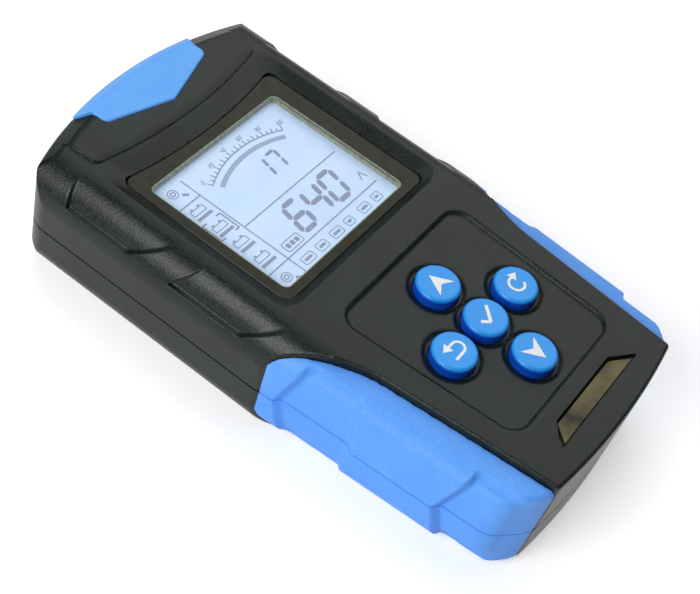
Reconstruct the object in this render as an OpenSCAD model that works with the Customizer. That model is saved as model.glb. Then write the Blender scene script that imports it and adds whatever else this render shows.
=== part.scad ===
// Hand-held battery tester, lying on its back with the display end towards +Y.
// The origin is the middle of its footprint on the table.

/* [Case] */
// Length of the case from end to end
case_len = 184.6; // [180:0.2:194]
// Width of the head between its flat sides
head_w = 103.6; // [101:0.2:110]
// Height of the face above the back
face_h = 39.8; // [39:0.1:43]
// Height of the line where the two shells meet
joint_h = 17.5; // [16:0.5:18.5]
// Thickness of the moulded walls
wall = 2.4; // [2:0.1:2.8]
// Radius of the head's long front edges
shoulder_r = 13; // [10:0.5:14]
// Radius of the long back edges
back_r = 12; // [9:0.5:13]
// Radius of the bowed top end
end_arc_r = 130; // [120:1:140]
// Radius of the head's upper corners
corner_r = 5; // [4:0.5:8]
// Radius of the edge from the face to the top end
end_front_r = 6; // [5:0.5:8]
// Radius of the edge from the back to the top end
end_back_r = 10; // [6:0.5:12]
// Depth of the scoops in the head's shoulders
scoop_depth = 2; // [1.4:0.1:2.2]
// Height of the end platform above the face
platform_rise = 1; // [0.6:0.1:1.4]

/* [Handle] */
// Distance from the bottom end to where the grips start at the sides
neck_from_end = 87.3; // [84:0.1:92]
// How far the grips lie inside the head's sides at the neck
grip_in = 0.2; // [0:0.1:1]
// Taper of each grip towards the bottom end, in degrees
grip_taper = 3.4; // [2.5:0.1:4.2]
// Thickness of the soft grips
grip_t = 2.5; // [2:0.1:3]
// How far the grips lie below the face
grip_drop = 2; // [1.4:0.1:2.6]
// How far the grips stay clear of the table
grip_lift = 0.8; // [0.5:0.1:1.2]
// Radius of the grips' long front edges
grip_front_r = 6; // [5:0.5:8]
// Fall of the grips' upper sides towards their front edges, in degrees
grip_fall = 10; // [8:0.5:14]
// Distance from the grips' sides to the face strip at the bottom end
strip_in = 13.1; // [12:0.1:15]
// Taper of each side of the face strip, in degrees
strip_taper = 5.1; // [4:0.1:5.8]
// Radius where the face strip flares into the head
flare_r = 14; // [10:0.5:18]
// Width of the narrowed bottom end
tail_w = 77.6; // [76:0.2:82]
// Length of the narrowed bottom end
tail_len = 7.7; // [6.5:0.1:9]
// Radius of the bottom corners
tail_corner_r = 6; // [5.5:0.5:8]
// Depth of the upper finger pockets
pocket_1_depth = 2.1; // [1.5:0.1:2.6]
// Depth of the lower finger pockets
pocket_2_depth = 2.6; // [1.8:0.1:3]
// Width of the sloping walls of the finger pockets
pocket_run = 3; // [2.4:0.1:3.6]
// Distance from the neck to the upper finger pockets
pocket_1_from_neck = 5.5; // [4.5:0.1:6.5]
// Length of the upper finger pockets
pocket_1_len = 27; // [24:0.5:29]
// Distance from the neck to the lower finger pockets
pocket_2_from_neck = 59; // [57:0.5:61]

/* [Keys] */
// Distance from the bottom end to the middle key
keys_from_end = 48; // [47:0.2:50]
// Spacing of the keys
key_pitch = 17; // [16.8:0.1:18]
// Diameter of a key
key_d = 13.9; // [13:0.1:14.1]
// Height of a key above the face
key_proud = 1.7; // [1.4:0.1:2.6]
// How far a key goes down
key_travel = 1.2; // [0.8:0.1:1.5]
// Clearance round a key in its hole
key_gap = 0.3; // [0.2:0.05:0.4]
// Depth of the recess that holds the keys
deck_sink = 1.1; // [0.8:0.1:1.4]
// Depth of the dish round each key
dish_sink = 1; // [0.7:0.1:1.3]
// Thickness of the face under the dishes
deck_t = 2.2; // [1.8:0.1:2.6]
// Thickness of the rubber keypad sheet
mat_t = 1.2; // [1:0.1:1.5]

/* [Display] */
// Width of the display window
window_w = 69.8; // [67:0.2:71]
// Distance from the window's middle to the top end
window_from_top = 33.2; // [31:0.1:36]
// Distance from the middle key to the window
window_from_key = 44.8; // [43.5:0.1:46]
// Radius of the window's bowed top edge
bow_r = 173; // [150:1:220]
// Depth of the window below the face
window_sink = 2.4; // [1.8:0.1:3]
// Thickness of the window
window_t = 1.35; // [1:0.05:1.6]
// Thickness of the adhesive under the window
tape_t = 0.15; // [0.1:0.05:0.3]
// Thickness of the ledge under the window
ledge_t = 1.4; // [1.1:0.1:1.7]
// Width of the display glass
lcd_w = 70; // [67:0.2:71]
// How much shorter the display glass is than the window
lcd_short = 2.6; // [2:0.1:4]
// Thickness of the display glass
lcd_t = 2; // [1.6:0.1:2.4]
// Thickness of the backlight
backlight_t = 2.5; // [2:0.1:3]

/* [Electronics] */
// Thickness of the circuit board
board_t = 1.6; // [1.2:0.1:2]
// Width of the board in the head
board_head_w = 80; // [77:0.5:82]
// Width of the board in the handle
board_tail_w = 63; // [60:0.5:65]
// Radius of the lead's hole through the rubber bush
lead_r = 3.6; // [3:0.1:4.2]
// Radius of the bush where it passes through the wall
bush_r = 6.5; // [5.8:0.1:7]

/* [Fasteners] */
// Radius of the case screws' shanks
case_screw_r = 1.5; // [1.3:0.1:1.8]
// Radius of the board screws' shanks
board_screw_r = 1.25; // [1:0.05:1.4]

/* [Hidden] */
$fn = 48;

far = 150;
eps = 0.05;
fit_gap = 0.15;
screw_gap = 0.05;
shank_gap = 0.2;
head_gap = 0.4;

// Main lines of the plan
top_y = case_len / 2;
bot_y = -case_len / 2;
head_hw = head_w / 2;
grip_hw = head_hw - grip_in;
neck_y = bot_y + neck_from_end;
grip_end_hw = grip_hw - tan(grip_taper) * neck_from_end;
strip_end_hw = grip_end_hw - strip_in;
head_overlap = 20;
head_low_y = neck_y - head_overlap;
arc_y = top_y - end_arc_r;
corner_ease = 0.1;
corner_x = head_hw - corner_r + corner_ease;
corner_y = arc_y + sqrt(pow(end_arc_r - corner_r + corner_ease, 2) - pow(corner_x, 2));
corner_swing = atan2(corner_x, corner_y - arc_y);
corner_reach = 20;
tail_arc_r = 238;
tail_front_r = 2;
tail_back_r = 8;
handle_overlap = 10;
handle_top_y = neck_y + handle_overlap;

// Step at the bottom corners of the handle
tail_step = 4;
tail_step_slope = 1.6;
tail_lift = 0.6;

// Finger pockets along the grip, and how far each reaches over the shoulder
pocket_1_high = -pocket_1_from_neck;
pocket_1_low = pocket_1_high - pocket_1_len;
pocket_1_reach = 4.9;
pocket_2_high = -pocket_2_from_neck;
pocket_2_low = -100;
pocket_2_reach = 6;
pocket_out = 4;

// Flare from the face strip to the head: a sloping line and a fillet
flare_slope = 42;
flare_out = 8;
flare_ease = 0.1;
flare_y = let(
        t = tan(strip_taper),
        c = 1 / tan(flare_slope),
        strip_at_neck = strip_end_hw + t * neck_from_end
    ) neck_y - (head_hw - strip_at_neck) / (c - t);
flare_x = strip_end_hw + tan(strip_taper) * (flare_y - bot_y);
flare_run = flare_r * tan((90 - strip_taper - flare_slope) / 2);
flare_low = [flare_x - flare_run * sin(strip_taper), flare_y - flare_run * cos(strip_taper)];
flare_high = [flare_x + flare_run * cos(flare_slope), flare_y + flare_run * sin(flare_slope)];
flare_centre = [flare_low[0] + flare_r * cos(strip_taper), flare_low[1] - flare_r * sin(strip_taper)];
flare_lap = 3;
flare_sink = let(v = [flare_x, flare_y] - flare_centre) flare_lap * v / norm(v);

// Section of the grips: where the fall starts, in from the side
grip_flat = 13;
grip_ease = 0.1;
grip_reach = 12;

// Heights, from the face down
grip_low = grip_lift;
grip_high = face_h - grip_drop;
window_top = face_h - window_sink;
ledge_z = window_top - window_t - tape_t;
lcd_top = ledge_z - ledge_t;
lcd_low = lcd_top - lcd_t;
board_top = lcd_low - backlight_t;
board_low = board_top - board_t;
ceiling_z = face_h - wall;
deck_z = face_h - deck_sink;
dish_z = deck_z - dish_sink;
deck_low = dish_z - deck_t;
platform_z = face_h + platform_rise;

// Keys
keys_y = bot_y + keys_from_end;
key_r = key_d / 2;
key_edge_r = 1.2;
key_top = face_h + key_proud;
dish_margin = 2.45;
dish_r = key_r + dish_margin;
flange_gap = 0.3;
flange_t = 1.1;
flange_out = 0.95;
flange_r = key_r + flange_out;
flange_top = deck_low - flange_gap;
flange_low = flange_top - flange_t;
mat_top = board_top + mat_t;
contact_t = 0.1;
contact_gap = 0.1;
contact_split = 0.5;
pill_t = 0.5;
pill_r = 2.5;
contact_margin = 0.4;
contact_r = pill_r + contact_margin;
pill_low = board_top + contact_t + contact_gap + key_travel;
plunger_r = 3.2;
web_t = 0.8;
web_low_out = 1.25;
web_high_out = 0.25;
web_low_r = key_r + web_low_out;
web_high_r = key_r + web_high_out;
mat_margin = 2;
mat_hw = key_pitch + web_low_r + mat_margin;
mat_corner_r = 6;
mat_rib = 1.2;
key_hole_r = key_r + key_gap;
KEY_PLACES = [[0, 1], [0, -1], [0, 0], [-1, 0], [1, 0]];

// Recess round the keys, wider towards the display
deck_top_hw = 31.1;
deck_low_hw = 27.8;
deck_up = 31;
deck_down = 28.4;
deck_margin = 0.8;

// Display
window_hw = window_w / 2;
window_low_y = keys_y + window_from_key;
window_high_y = top_y - window_from_top;
window_len = window_high_y - window_low_y;
window_corner_r = 3;
tape_in = 0.3;
bow_y = window_high_y + bow_r;
bezel_side = 4.6;
bezel_low = 3;
bezel_high = 6.3;
tub_wall = 2.6;
tub_hw = window_hw + tub_wall;
view_x = 0.85;
lcd_x = 1;
view_short = 5.4;
view_w = lcd_w - view_short;
lcd_edge = 1.4;
lcd_in = 1.5;
lcd_len = window_len - lcd_short;
view_len = lcd_len - 2 * lcd_edge;
lcd_low_y = window_low_y + lcd_in;
view_low_y = lcd_low_y + lcd_edge;
holder_wall = 1.8;
zebra_w = 2.5;
zebra_in = 1;
backlight_in = 5.5;
backlight_edge = 1;
zebra_side = 3;

// Platform at the top end, and the cap on it
bezel_rise = 0.15;
platform_foot = 0.6;
platform_gap = bezel_high + platform_foot;
platform_low_hw = 37.4;
platform_hw = 38;
platform_from_top = 12.4;
platform_shoulder = top_y - platform_from_top;
cap_t = 3;
cap_end_t = 1.4;
cap_rise = 0.6;
cap_z = platform_z + cap_rise;
cap_len = 20.1;
cap_tip_y = top_y - cap_len;
cap_hw = 23.2;
cap_side_len = 13.1;
cap_side_y = top_y - cap_side_len;
cap_flare_len = 8.4;
cap_flare_y = top_y - cap_flare_len;
cap_flare_hw = 26.6;
cap_wide_len = 3.6;
cap_wide_y = top_y - cap_wide_len;
cap_over_bush = 1.8;
cap_low_z = joint_h + bush_r + cap_over_bush;

// Scoops in the shoulders: each leaves the shoulder at a slight angle and dips to a flat ledge
inner_shoulder_r = 16;
scoop_drop = 8;
scoop_z = face_h - scoop_drop;
scoop_edge = 20;
scoop_dip = 10;
shoulder_centre = [head_hw - shoulder_r, face_h - shoulder_r];
scoop_from = shoulder_centre + shoulder_r * [sin(scoop_edge), cos(scoop_edge)];
scoop_to = [
    head_hw - shoulder_r + sqrt(pow(shoulder_r, 2) - pow(shoulder_r - scoop_drop, 2)) - scoop_depth, scoop_z
];
scoop_way = [sin(scoop_edge + scoop_dip), cos(scoop_edge + scoop_dip)];
scoop_chord = scoop_to - scoop_from;
scoop_r = -(scoop_chord * scoop_chord) / (2 * (scoop_chord * scoop_way));
scoop_centre = scoop_from - scoop_r * scoop_way;

// Scoops along the head: upper end of the ledge, its length, and the lean of both ends per height
scoop_low_lean = -1.62;
scoop_1_from_top = 23.3;
scoop_1_len = 22.5;
scoop_1_lean = 0.32;
scoop_2_from_top = 61.1;
scoop_2_len = 25.7;
scoop_2_lean = -0.96;
SCOOPS = [
    [top_y - scoop_1_from_top, scoop_1_len, scoop_1_lean],
    [top_y - scoop_2_from_top, scoop_2_len, scoop_2_lean]
];

// Nameplate, tilted so that its upper edge sinks into the face
plate_low_hw = 20.2;
plate_high_hw = 15.2;
plate_w = 5.5;
plate_t = 1;
plate_tilt = 12.5;
plate_from_key = 39.5;
plate_y = keys_y - plate_from_key;

// Screws
case_boss_r = 3.6;
rear_boss_r = 4.2;
case_head_r = 2.8;
case_head_t = 2;
case_drive_r = 1;
case_seat_z = 6;
case_bite = 10;
case_screw_in = 10.8;
case_screw_from_top = 22.3;
case_screw_from_neck = 1;
end_screw_in = 5.3;
end_screw_from_end = 8.3;
case_screw_x = head_hw - case_screw_in;
CASE_SCREWS = [
    [case_screw_x, top_y - case_screw_from_top], [case_screw_x, neck_y - case_screw_from_neck],
    [strip_end_hw - end_screw_in, bot_y + end_screw_from_end]
];
board_boss_r = 3;
board_head_r = 2.4;
board_head_t = 1.6;
board_drive_r = 0.8;
board_bite = 4;
board_from_top = 16.3;
board_top_y = top_y - board_from_top;
board_step_from_neck = 6.5;
board_step_y = neck_y - board_step_from_neck;
board_from_end = 16.3;
board_bot_y = bot_y + board_from_end;
top_screw_in = 7;
top_screw_from_edge = 5;
neck_screw_in = 11;
neck_screw_from_neck = 2;
tail_screw_in = 2.5;
tail_screw_from_edge = 6;
BOARD_SCREWS = [
    [case_screw_x - top_screw_in, board_top_y - top_screw_from_edge],
    [case_screw_x - neck_screw_in, neck_y - neck_screw_from_neck],
    [board_tail_w / 2 - tail_screw_in, board_bot_y + tail_screw_from_edge]
];

// Pieces on the underside of the board
chip_t = 1.5;
chip_lift = 0.1;
chip_end = 0.5;
leg_w = 0.4;
leg_out = 1;
chip_from_neck = 8;
chip_y = neck_y - chip_from_neck;
micro_w = 14;
signal_w = 4;
signal_len = 10;
signal_pitch = 20;
signal_from_neck = 16;
signal_y = neck_y + signal_from_neck;
transistor_x = 14;
transistor_from_step = 53;
transistor_y = board_step_y - transistor_from_step;
transistor_w = 10;
transistor_len = 9;
transistor_t = 4.4;
tab_len = 2.5;
tab_t = 1.3;
resistor_x = 20;
resistor_low = -8;
resistor_len = 24;
resistor_w = 9.5;
capacitor_x = 24;
capacitor_from_top = 36;
capacitor_y = top_y - capacitor_from_top;
capacitor_r = 4;
capacitor_h = 12;
buzzer_from_top = 50;
buzzer_y = top_y - buzzer_from_top;
buzzer_r = 6;
buzzer_h = 8;
buzzer_bore = 3;
buzzer_hole_r = 1;
crystal_x = 14;
crystal_hw = 2.3;
crystal_hl = 5.5;
crystal_h = 3.5;
crystal_r = 2;

// Terminals for the lead's wires
terminal_pitch = 6;
terminal_count = 4;
terminal_w = terminal_count * terminal_pitch;
terminal_len = 9;
terminal_h = 11;
terminal_from_edge = 2;
terminal_y = board_top_y - terminal_from_edge;
wire_hole_r = 1.8;
wire_hole_drop = 7.5;
wire_hole_z = board_low - wire_hole_drop;
clamp_hole_r = 1.6;
clamp_hole_depth = 3;

// Rubber bush for the lead
bush_flange_out = 2.4;
bush_flange_r = bush_r + bush_flange_out;
bush_flange_t = 2.4;
gland_depth = 6;
gland_y = top_y - gland_depth;
gland_margin = 2;
gland_hw = bush_flange_r + gland_margin;
bush_low_y = gland_y - bush_flange_t;
bush_sink = 0.8;
bush_high_y = top_y - bush_sink;

case_black = [0.09, 0.1, 0.09];
grip_blue = [0.3, 0.52, 0.98];
key_blue = [0.1, 0.45, 0.95];
board_green = [0.05, 0.3, 0.16];
chip_black = [0.06, 0.06, 0.07];
metal_grey = [0.72, 0.73, 0.75];

function shrink(r, d) = max(r - d, 0.3);
function strip_hw(y) = strip_end_hw + tan(strip_taper) * (y - bot_y);

// General shapes

// Half plane to the left of x = reach, with round corners
module rounded_half(reach, low, high, r_low, r_high, from = -far) {
    translate([from, low + r_low]) square([reach - from, high - low - r_low - r_high]);
    translate([from, low]) square([reach - r_low - from, r_low]);
    translate([from, high - r_high]) square([reach - r_high - from, r_high]);
    translate([reach - r_low, low + r_low]) circle(r_low);
    translate([reach - r_high, high - r_high]) circle(r_high);
}

module rounded_rect(x0, y0, x1, y1, r) {
    translate([x0 + r, y0]) square([x1 - x0 - 2 * r, y1 - y0]);
    translate([x0, y0 + r]) square([x1 - x0, y1 - y0 - 2 * r]);
    for (x = [x0 + r, x1 - r], y = [y0 + r, y1 - r]) translate([x, y]) circle(r);
}

// Stretch a profile drawn in x and z along y
module along_y(y0, len) {
    translate([0, y0 + len, 0]) rotate([90, 0, 0]) linear_extrude(len) children();
}

// Stretch a profile drawn in y and z along x
module along_x(x0, len) {
    translate([x0, 0, 0]) rotate([90, 0, 90]) linear_extrude(len) children();
}

// Solid between two heights over a plan
module slab(z0, z1) {
    translate([0, 0, z0]) linear_extrude(z1 - z0) children();
}

module both_sides() {
    children();
    mirror([1, 0, 0]) children();
}

// Big disc whose rim rounds the ends of the case
module rim_disc(y, r, low, high, r_low, r_high) {
    translate([0, y, 0]) rotate_extrude($fn = 180) rounded_half(r, low, high, r_low, r_high, 0);
}

module drill(z0, z1, r) {
    translate([0, 0, z0]) cylinder(h = z1 - z0, r = r);
}

module above_joint() {
    translate([-far, -far, joint_h]) cube([2 * far, 2 * far, far]);
}

module below_joint() {
    translate([-far, -far, joint_h - far]) cube([2 * far, 2 * far, far]);
}

// Head, drawn in by d all round

// What the rounded upper corners take away
module corner_cuts(d) {
    both_sides() translate([corner_x, corner_y, 0]) slab(-1, face_h + 1) difference() {
        polygon([
            [0, 0], [corner_reach, 0], [corner_reach, corner_reach],
            [corner_reach * sin(corner_swing), corner_reach * cos(corner_swing)]
        ]);
        circle(corner_r - d);
    }
}

module head_section(d, front_r) {
    intersection() {
        rounded_half(head_hw - d, d, face_h - d, shrink(back_r, d), front_r);
        mirror([1, 0]) rounded_half(head_hw - d, d, face_h - d, shrink(back_r, d), front_r);
    }
}

module head_block(d, front_r) {
    difference() {
        intersection() {
            along_y(head_low_y, far) head_section(d, front_r);
            rim_disc(arc_y, end_arc_r - d, d, face_h - d, shrink(end_back_r, d), shrink(end_front_r, d));
        }
        corner_cuts(d);
    }
}

// Handle, drawn in by d all round

module grip_frame() {
    translate([grip_hw, neck_y, 0]) rotate([0, 0, -grip_taper]) children();
}

// Finger pocket from a to b along the grip: its floor follows the grip's skin,
// and its ends slope together until they reach the inner edge on the shoulder
module pocket(a, b, depth, reach, d) {
    slope = pocket_run / depth;
    spread = d * sqrt(1 + slope * slope);
    grip_frame() difference() {
        slab(-1, face_h + 1) polygon([
            [pocket_out, a - pocket_out * slope - spread],
            [-reach - d, a + (reach + d) * slope - spread],
            [-reach - d, b - (reach + d) * slope + spread],
            [pocket_out, b + pocket_out * slope + spread]
        ]);
        wall_profile(depth + d, grip_low, grip_high);
    }
}

module tail_plan(d) {
    hw = tail_w / 2 - d;
    y0 = bot_y + tail_len;
    y1 = y0 + tail_step;
    wide = hw + tail_step * tail_step_slope;
    r = tail_corner_r - min(d, tail_corner_r - 1);
    translate([-far, y1]) square([2 * far, far]);
    polygon([[-hw, y0], [hw, y0], [wide, y1 + eps], [-wide, y1 + eps]]);
    rounded_rect(-hw, bot_y + d + tail_lift, hw, y1 + tail_step, r);
    translate([-hw + r, bot_y - 1]) square([2 * hw - 2 * r, tail_len]);
}

// Bottom end of the handle
module tail_disc(d, low, high) {
    rim_disc(bot_y + tail_arc_r, tail_arc_r - d, low + d, high - d,
        shrink(tail_back_r, d), shrink(tail_front_r, d));
}

module handle_block(d, low, high) {
    difference() {
        intersection() {
            both_walls(d, low, high);
            tail_disc(d, low, high);
            slab(0, face_h) tail_plan(d);
            translate([-far, bot_y, 0]) cube([2 * far, handle_top_y - bot_y, face_h]);
        }
        both_sides() {
            pocket(pocket_1_low, pocket_1_high, pocket_1_depth, pocket_1_reach, d);
            pocket(pocket_2_low, pocket_2_high, pocket_2_depth, pocket_2_reach, d);
        }
    }
}

// Grip's section, drawn in by d: a flat top, a slight fall and a round front edge
module wall_profile(d, low, high) {
    r = shrink(grip_front_r, d);
    fall_z = high - d / cos(grip_fall);
    edge_x = grip_ease - d - r;
    edge_z = fall_z - (edge_x + grip_flat) * tan(grip_fall) - (r - grip_ease) / cos(grip_fall);
    along_y(-far, 2 * far) difference() {
        rounded_half(-d, low + d, high - d, shrink(back_r, d), shrink(0, d));
        polygon([
            [-2 * grip_flat, fall_z + grip_flat * tan(grip_fall)], [0, fall_z - grip_flat * tan(grip_fall)],
            [0, high + 1], [-2 * grip_flat, high + 1]
        ]);
        translate([edge_x, edge_z]) difference() {
            polygon([
                [0, 0], [grip_reach, 0], [grip_reach, grip_reach],
                [grip_reach * sin(grip_fall), grip_reach * cos(grip_fall)]
            ]);
            circle(r);
        }
    }
}

module both_walls(d, low, high) {
    intersection() {
        grip_frame() wall_profile(d, low, high);
        mirror([1, 0, 0]) grip_frame() wall_profile(d, low, high);
    }
}

// Plan of the hard face: the strip, its flare and the head
module hard_plan() {
    edge_x = head_hw + flare_out;
    edge_y = neck_y + flare_out * tan(flare_slope);
    right = [
        [strip_hw(bot_y - 1), bot_y - 1], [flare_x, flare_y],
        [edge_x, edge_y], [edge_x, top_y + flare_out]
    ];
    left = [for (i = [len(right) - 1:-1:0]) [-right[i][0], right[i][1]]];
    polygon(concat(right, left));
    for (s = [0, 1]) mirror([s, 0]) difference() {
        polygon([
            [flare_x, flare_y] + flare_sink, flare_low + flare_sink,
            flare_centre, flare_high + flare_sink
        ]);
        translate(flare_centre) circle(flare_r + flare_ease);
    }
}

module strip_plan(d, y0, y1) {
    polygon([
        [strip_hw(y0) - d, y0], [strip_hw(y1) - d, y1],
        [-strip_hw(y1) + d, y1], [-strip_hw(y0) + d, y0]
    ]);
}

// Raised parts of the head

module platform() {
    intersection() {
        slab(ceiling_z, platform_z) difference() {
            polygon([
                [-platform_low_hw, window_high_y], [platform_low_hw, window_high_y],
                [platform_hw, platform_shoulder], [platform_low_hw, top_y],
                [-platform_low_hw, top_y], [-platform_hw, platform_shoulder]
            ]);
            difference() {
                translate([-far, bot_y]) square([2 * far, case_len]);
                translate([0, bow_y]) circle(bow_r - platform_gap, $fn = 180);
            }
        }
        rim_disc(arc_y, end_arc_r, 0, platform_z, end_back_r, end_front_r);
    }
}

module shoulder_scoops() {
    lift = scoop_drop + 1;
    both_sides() intersection() {
        along_y(head_low_y, far) difference() {
            translate([scoop_centre[0], scoop_z]) square([far, lift]);
            translate(scoop_centre) circle(scoop_r);
        }
        union() for (s = SCOOPS) along_x(0, far) polygon([
            [s[0] - s[1], scoop_z - eps], [s[0], scoop_z - eps],
            [s[0] + lift * s[2], scoop_z + lift + eps],
            [s[0] - s[1] + lift * scoop_low_lean, scoop_z + lift + eps]
        ]);
    }
}

// Outside of the hard case, and the space inside it

module hard_case() {
    intersection() {
        head_block(0, shoulder_r);
        slab(0, face_h) hard_plan();
    }
    intersection() {
        tail_disc(0, 0, face_h);
        slab(0, face_h) strip_plan(0, bot_y - 1, flare_y);
    }
    handle_block(grip_t, grip_low, grip_high);
}

module case_space() {
    intersection() {
        head_block(wall, inner_shoulder_r);
        translate([-far, neck_y + wall / 2, 0]) cube(2 * far);
    }
    handle_block(grip_t + wall, grip_low, grip_high);
    slab(wall, ceiling_z) strip_plan(2 * wall, bot_y + 2 * wall, handle_top_y);
}

module window_plan(g) {
    difference() {
        rounded_rect(-window_hw - g, window_low_y - g, window_hw + g, window_high_y + bezel_high,
            window_corner_r + g);
        translate([0, bow_y]) circle(bow_r - g, $fn = 180);
    }
}

module view_plan(g) {
    translate([view_x - view_w / 2 - g, view_low_y - g]) square([view_w + 2 * g, view_len + 2 * g]);
}

// Sloping sides of the recess that holds the window
module bezel_recess() {
    side = bezel_side * bezel_rise / window_sink;
    high = bezel_high * (1 + bezel_rise / window_sink);
    difference() {
        intersection() {
            along_y(bot_y, case_len) polygon([
                [-window_hw, window_top], [window_hw, window_top],
                [window_hw + bezel_side + side, face_h + bezel_rise],
                [-window_hw - bezel_side - side, face_h + bezel_rise]
            ]);
            along_x(-far, 2 * far) polygon([
                [window_low_y, window_top],
                [window_low_y - bezel_low * (1 + bezel_rise / window_sink), face_h + bezel_rise],
                [top_y, face_h + bezel_rise], [top_y, window_top]
            ]);
        }
        translate([0, bow_y, window_top])
            cylinder(h = window_sink + bezel_rise, r1 = bow_r, r2 = bow_r - high, $fn = 180);
    }
}

module deck_plan(d) {
    polygon([
        [deck_top_hw + d, keys_y + deck_up + d], [-deck_top_hw - d, keys_y + deck_up + d],
        [-deck_low_hw - d, keys_y - deck_down - d], [deck_low_hw + d, keys_y - deck_down - d]
    ]);
}

module at_keys() {
    for (p = KEY_PLACES) translate([p[0] * key_pitch, keys_y + p[1] * key_pitch, 0]) children();
}

module at_points(points) {
    both_sides() for (p = points) translate([p[0], p[1], 0]) children();
}

module plate_frame() {
    translate([0, plate_y, face_h]) rotate([-plate_tilt, 0, 0]) children();
}

module plate_plan(g) {
    polygon([
        [-plate_low_hw - g, -g], [plate_low_hw + g, -g],
        [plate_high_hw + g, plate_w + g], [-plate_high_hw - g, plate_w + g]
    ]);
}

module cap_plan(g) {
    polygon([
        [0, cap_tip_y - g], [cap_hw + g, cap_side_y - g], [cap_hw + g, cap_flare_y],
        [cap_flare_hw + g, cap_wide_y], [cap_flare_hw + g, top_y + cap_t],
        [-cap_flare_hw - g, top_y + cap_t], [-cap_flare_hw - g, cap_wide_y],
        [-cap_hw - g, cap_flare_y], [-cap_hw - g, cap_side_y - g]
    ]);
}

// Space that the end cap fills, from its own skin inwards
module cap_bend(g) {
    difference() {
        slab(cap_low_z - g, cap_z + cap_t) cap_plan(g);
        rim_disc(arc_y, end_arc_r - cap_end_t, 0, cap_z - cap_t, end_back_r, end_front_r - cap_end_t);
    }
}

module gland_block() {
    intersection() {
        head_block(wall / 2, shoulder_r);
        translate([-gland_hw, gland_y, joint_h - gland_hw])
            cube([2 * gland_hw, 2 * gland_hw, 2 * gland_hw]);
    }
}

module gland_hole(r) {
    translate([0, gland_y - gland_hw, joint_h]) rotate([-90, 0, 0]) cylinder(h = 3 * gland_hw, r = r);
}

// The case

module front_shell() color(case_black) difference() {
    union() {
        intersection() {
            above_joint();
            union() {
                difference() {
                    union() {
                        hard_case();
                        platform();
                    }
                    case_space();
                }
                gland_block();
            }
        }
        slab(lcd_top, ceiling_z + eps) translate([-tub_hw, window_low_y - bezel_low - tub_wall])
            square([2 * tub_hw, window_len + bezel_low + bezel_high + 2 * tub_wall]);
        slab(deck_low, ceiling_z + eps) deck_plan(deck_margin);
        slab(mat_top, deck_low + eps) difference() {
            translate([0, keys_y]) rounded_rect(-mat_hw, -mat_hw, mat_hw, mat_hw, mat_corner_r);
            translate([0, keys_y]) rounded_rect(-mat_hw + mat_rib, -mat_hw + mat_rib,
                mat_hw - mat_rib, mat_hw - mat_rib, mat_corner_r - mat_rib);
        }
        at_points(BOARD_SCREWS) drill(board_top, ceiling_z + eps, board_boss_r);
        at_points(CASE_SCREWS) drill(joint_h, ceiling_z + eps, case_boss_r);
    }
    bezel_recess();
    slab(ledge_z, window_top + eps) window_plan(fit_gap);
    slab(lcd_top - eps, ledge_z + eps) view_plan(0);
    slab(deck_z, face_h + 1) deck_plan(0);
    at_keys() drill(dish_z, face_h, dish_r);
    at_keys() drill(deck_low - 1, face_h, key_hole_r);
    plate_frame() slab(-plate_t, plate_w) plate_plan(fit_gap);
    cap_bend(fit_gap);
    shoulder_scoops();
    gland_hole(bush_r + screw_gap);
    at_points(BOARD_SCREWS)
        drill(board_top - eps, board_top + board_bite + 1, board_screw_r + screw_gap);
    at_points(CASE_SCREWS)
        drill(joint_h - eps, joint_h + case_bite + 1, case_screw_r + screw_gap);
}

module rear_shell() color(case_black) difference() {
    union() {
        intersection() {
            below_joint();
            union() {
                difference() {
                    hard_case();
                    case_space();
                }
                gland_block();
            }
        }
        at_points(CASE_SCREWS) drill(wall - eps, joint_h, rear_boss_r);
    }
    gland_hole(bush_r + screw_gap);
    at_points(CASE_SCREWS) drill(-1, case_seat_z, case_head_r + head_gap);
    at_points(CASE_SCREWS) drill(-1, joint_h + eps, case_screw_r + shank_gap);
}

module grip_skin() {
    difference() {
        handle_block(0, grip_low, grip_high);
        handle_block(grip_t, grip_low, grip_high);
        slab(-1, face_h + 1) hard_plan();
    }
}

module grip(side) color(grip_blue) intersection() {
    grip_skin();
    children();
    translate([side > 0 ? 0 : -far, -far, 0]) cube([far, 2 * far, far]);
}

module left_front_grip() grip(-1) above_joint();
module right_front_grip() grip(1) above_joint();
module left_rear_grip() grip(-1) below_joint();
module right_rear_grip() grip(1) below_joint();

module end_cap() color(grip_blue) intersection() {
    cap_bend(0);
    rim_disc(arc_y, end_arc_r, 0, cap_z, end_back_r, end_front_r);
}

module nameplate() color([0.35, 0.34, 0.3]) plate_frame() slab(-plate_t, 0) plate_plan(0);

// The display

module display_window() color([0.2, 0.19, 0.13]) slab(ledge_z + tape_t, window_top) window_plan(0);

module window_tape() color([0.15, 0.15, 0.15]) slab(ledge_z, ledge_z + tape_t) difference() {
    window_plan(-tape_in);
    view_plan(fit_gap);
}

module lcd_box(x_in, y_in_low, y_in_high, z0, z1) {
    translate([lcd_x - lcd_w / 2 + x_in, lcd_low_y + y_in_low, z0])
        cube([lcd_w - 2 * x_in, lcd_len - y_in_low - y_in_high, z1 - z0]);
}

module lcd_glass() color([0.78, 0.88, 1]) lcd_box(0, 0, 0, lcd_low, lcd_top);

module lcd_holder() color([0.9, 0.9, 0.88]) difference() {
    lcd_box(-holder_wall, -holder_wall, -holder_wall, board_top, lcd_top);
    lcd_box(-fit_gap, -fit_gap, -fit_gap, board_top - 1, lcd_top + 1);
}

module backlight_panel() color("white")
    lcd_box(backlight_edge, backlight_in, backlight_edge, board_top, lcd_low);

module zebra_strip() color([0.85, 0.7, 0.75])
    lcd_box(zebra_side, zebra_in, lcd_len - zebra_in - zebra_w, board_top, lcd_low);

// The board and the keypad

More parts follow.
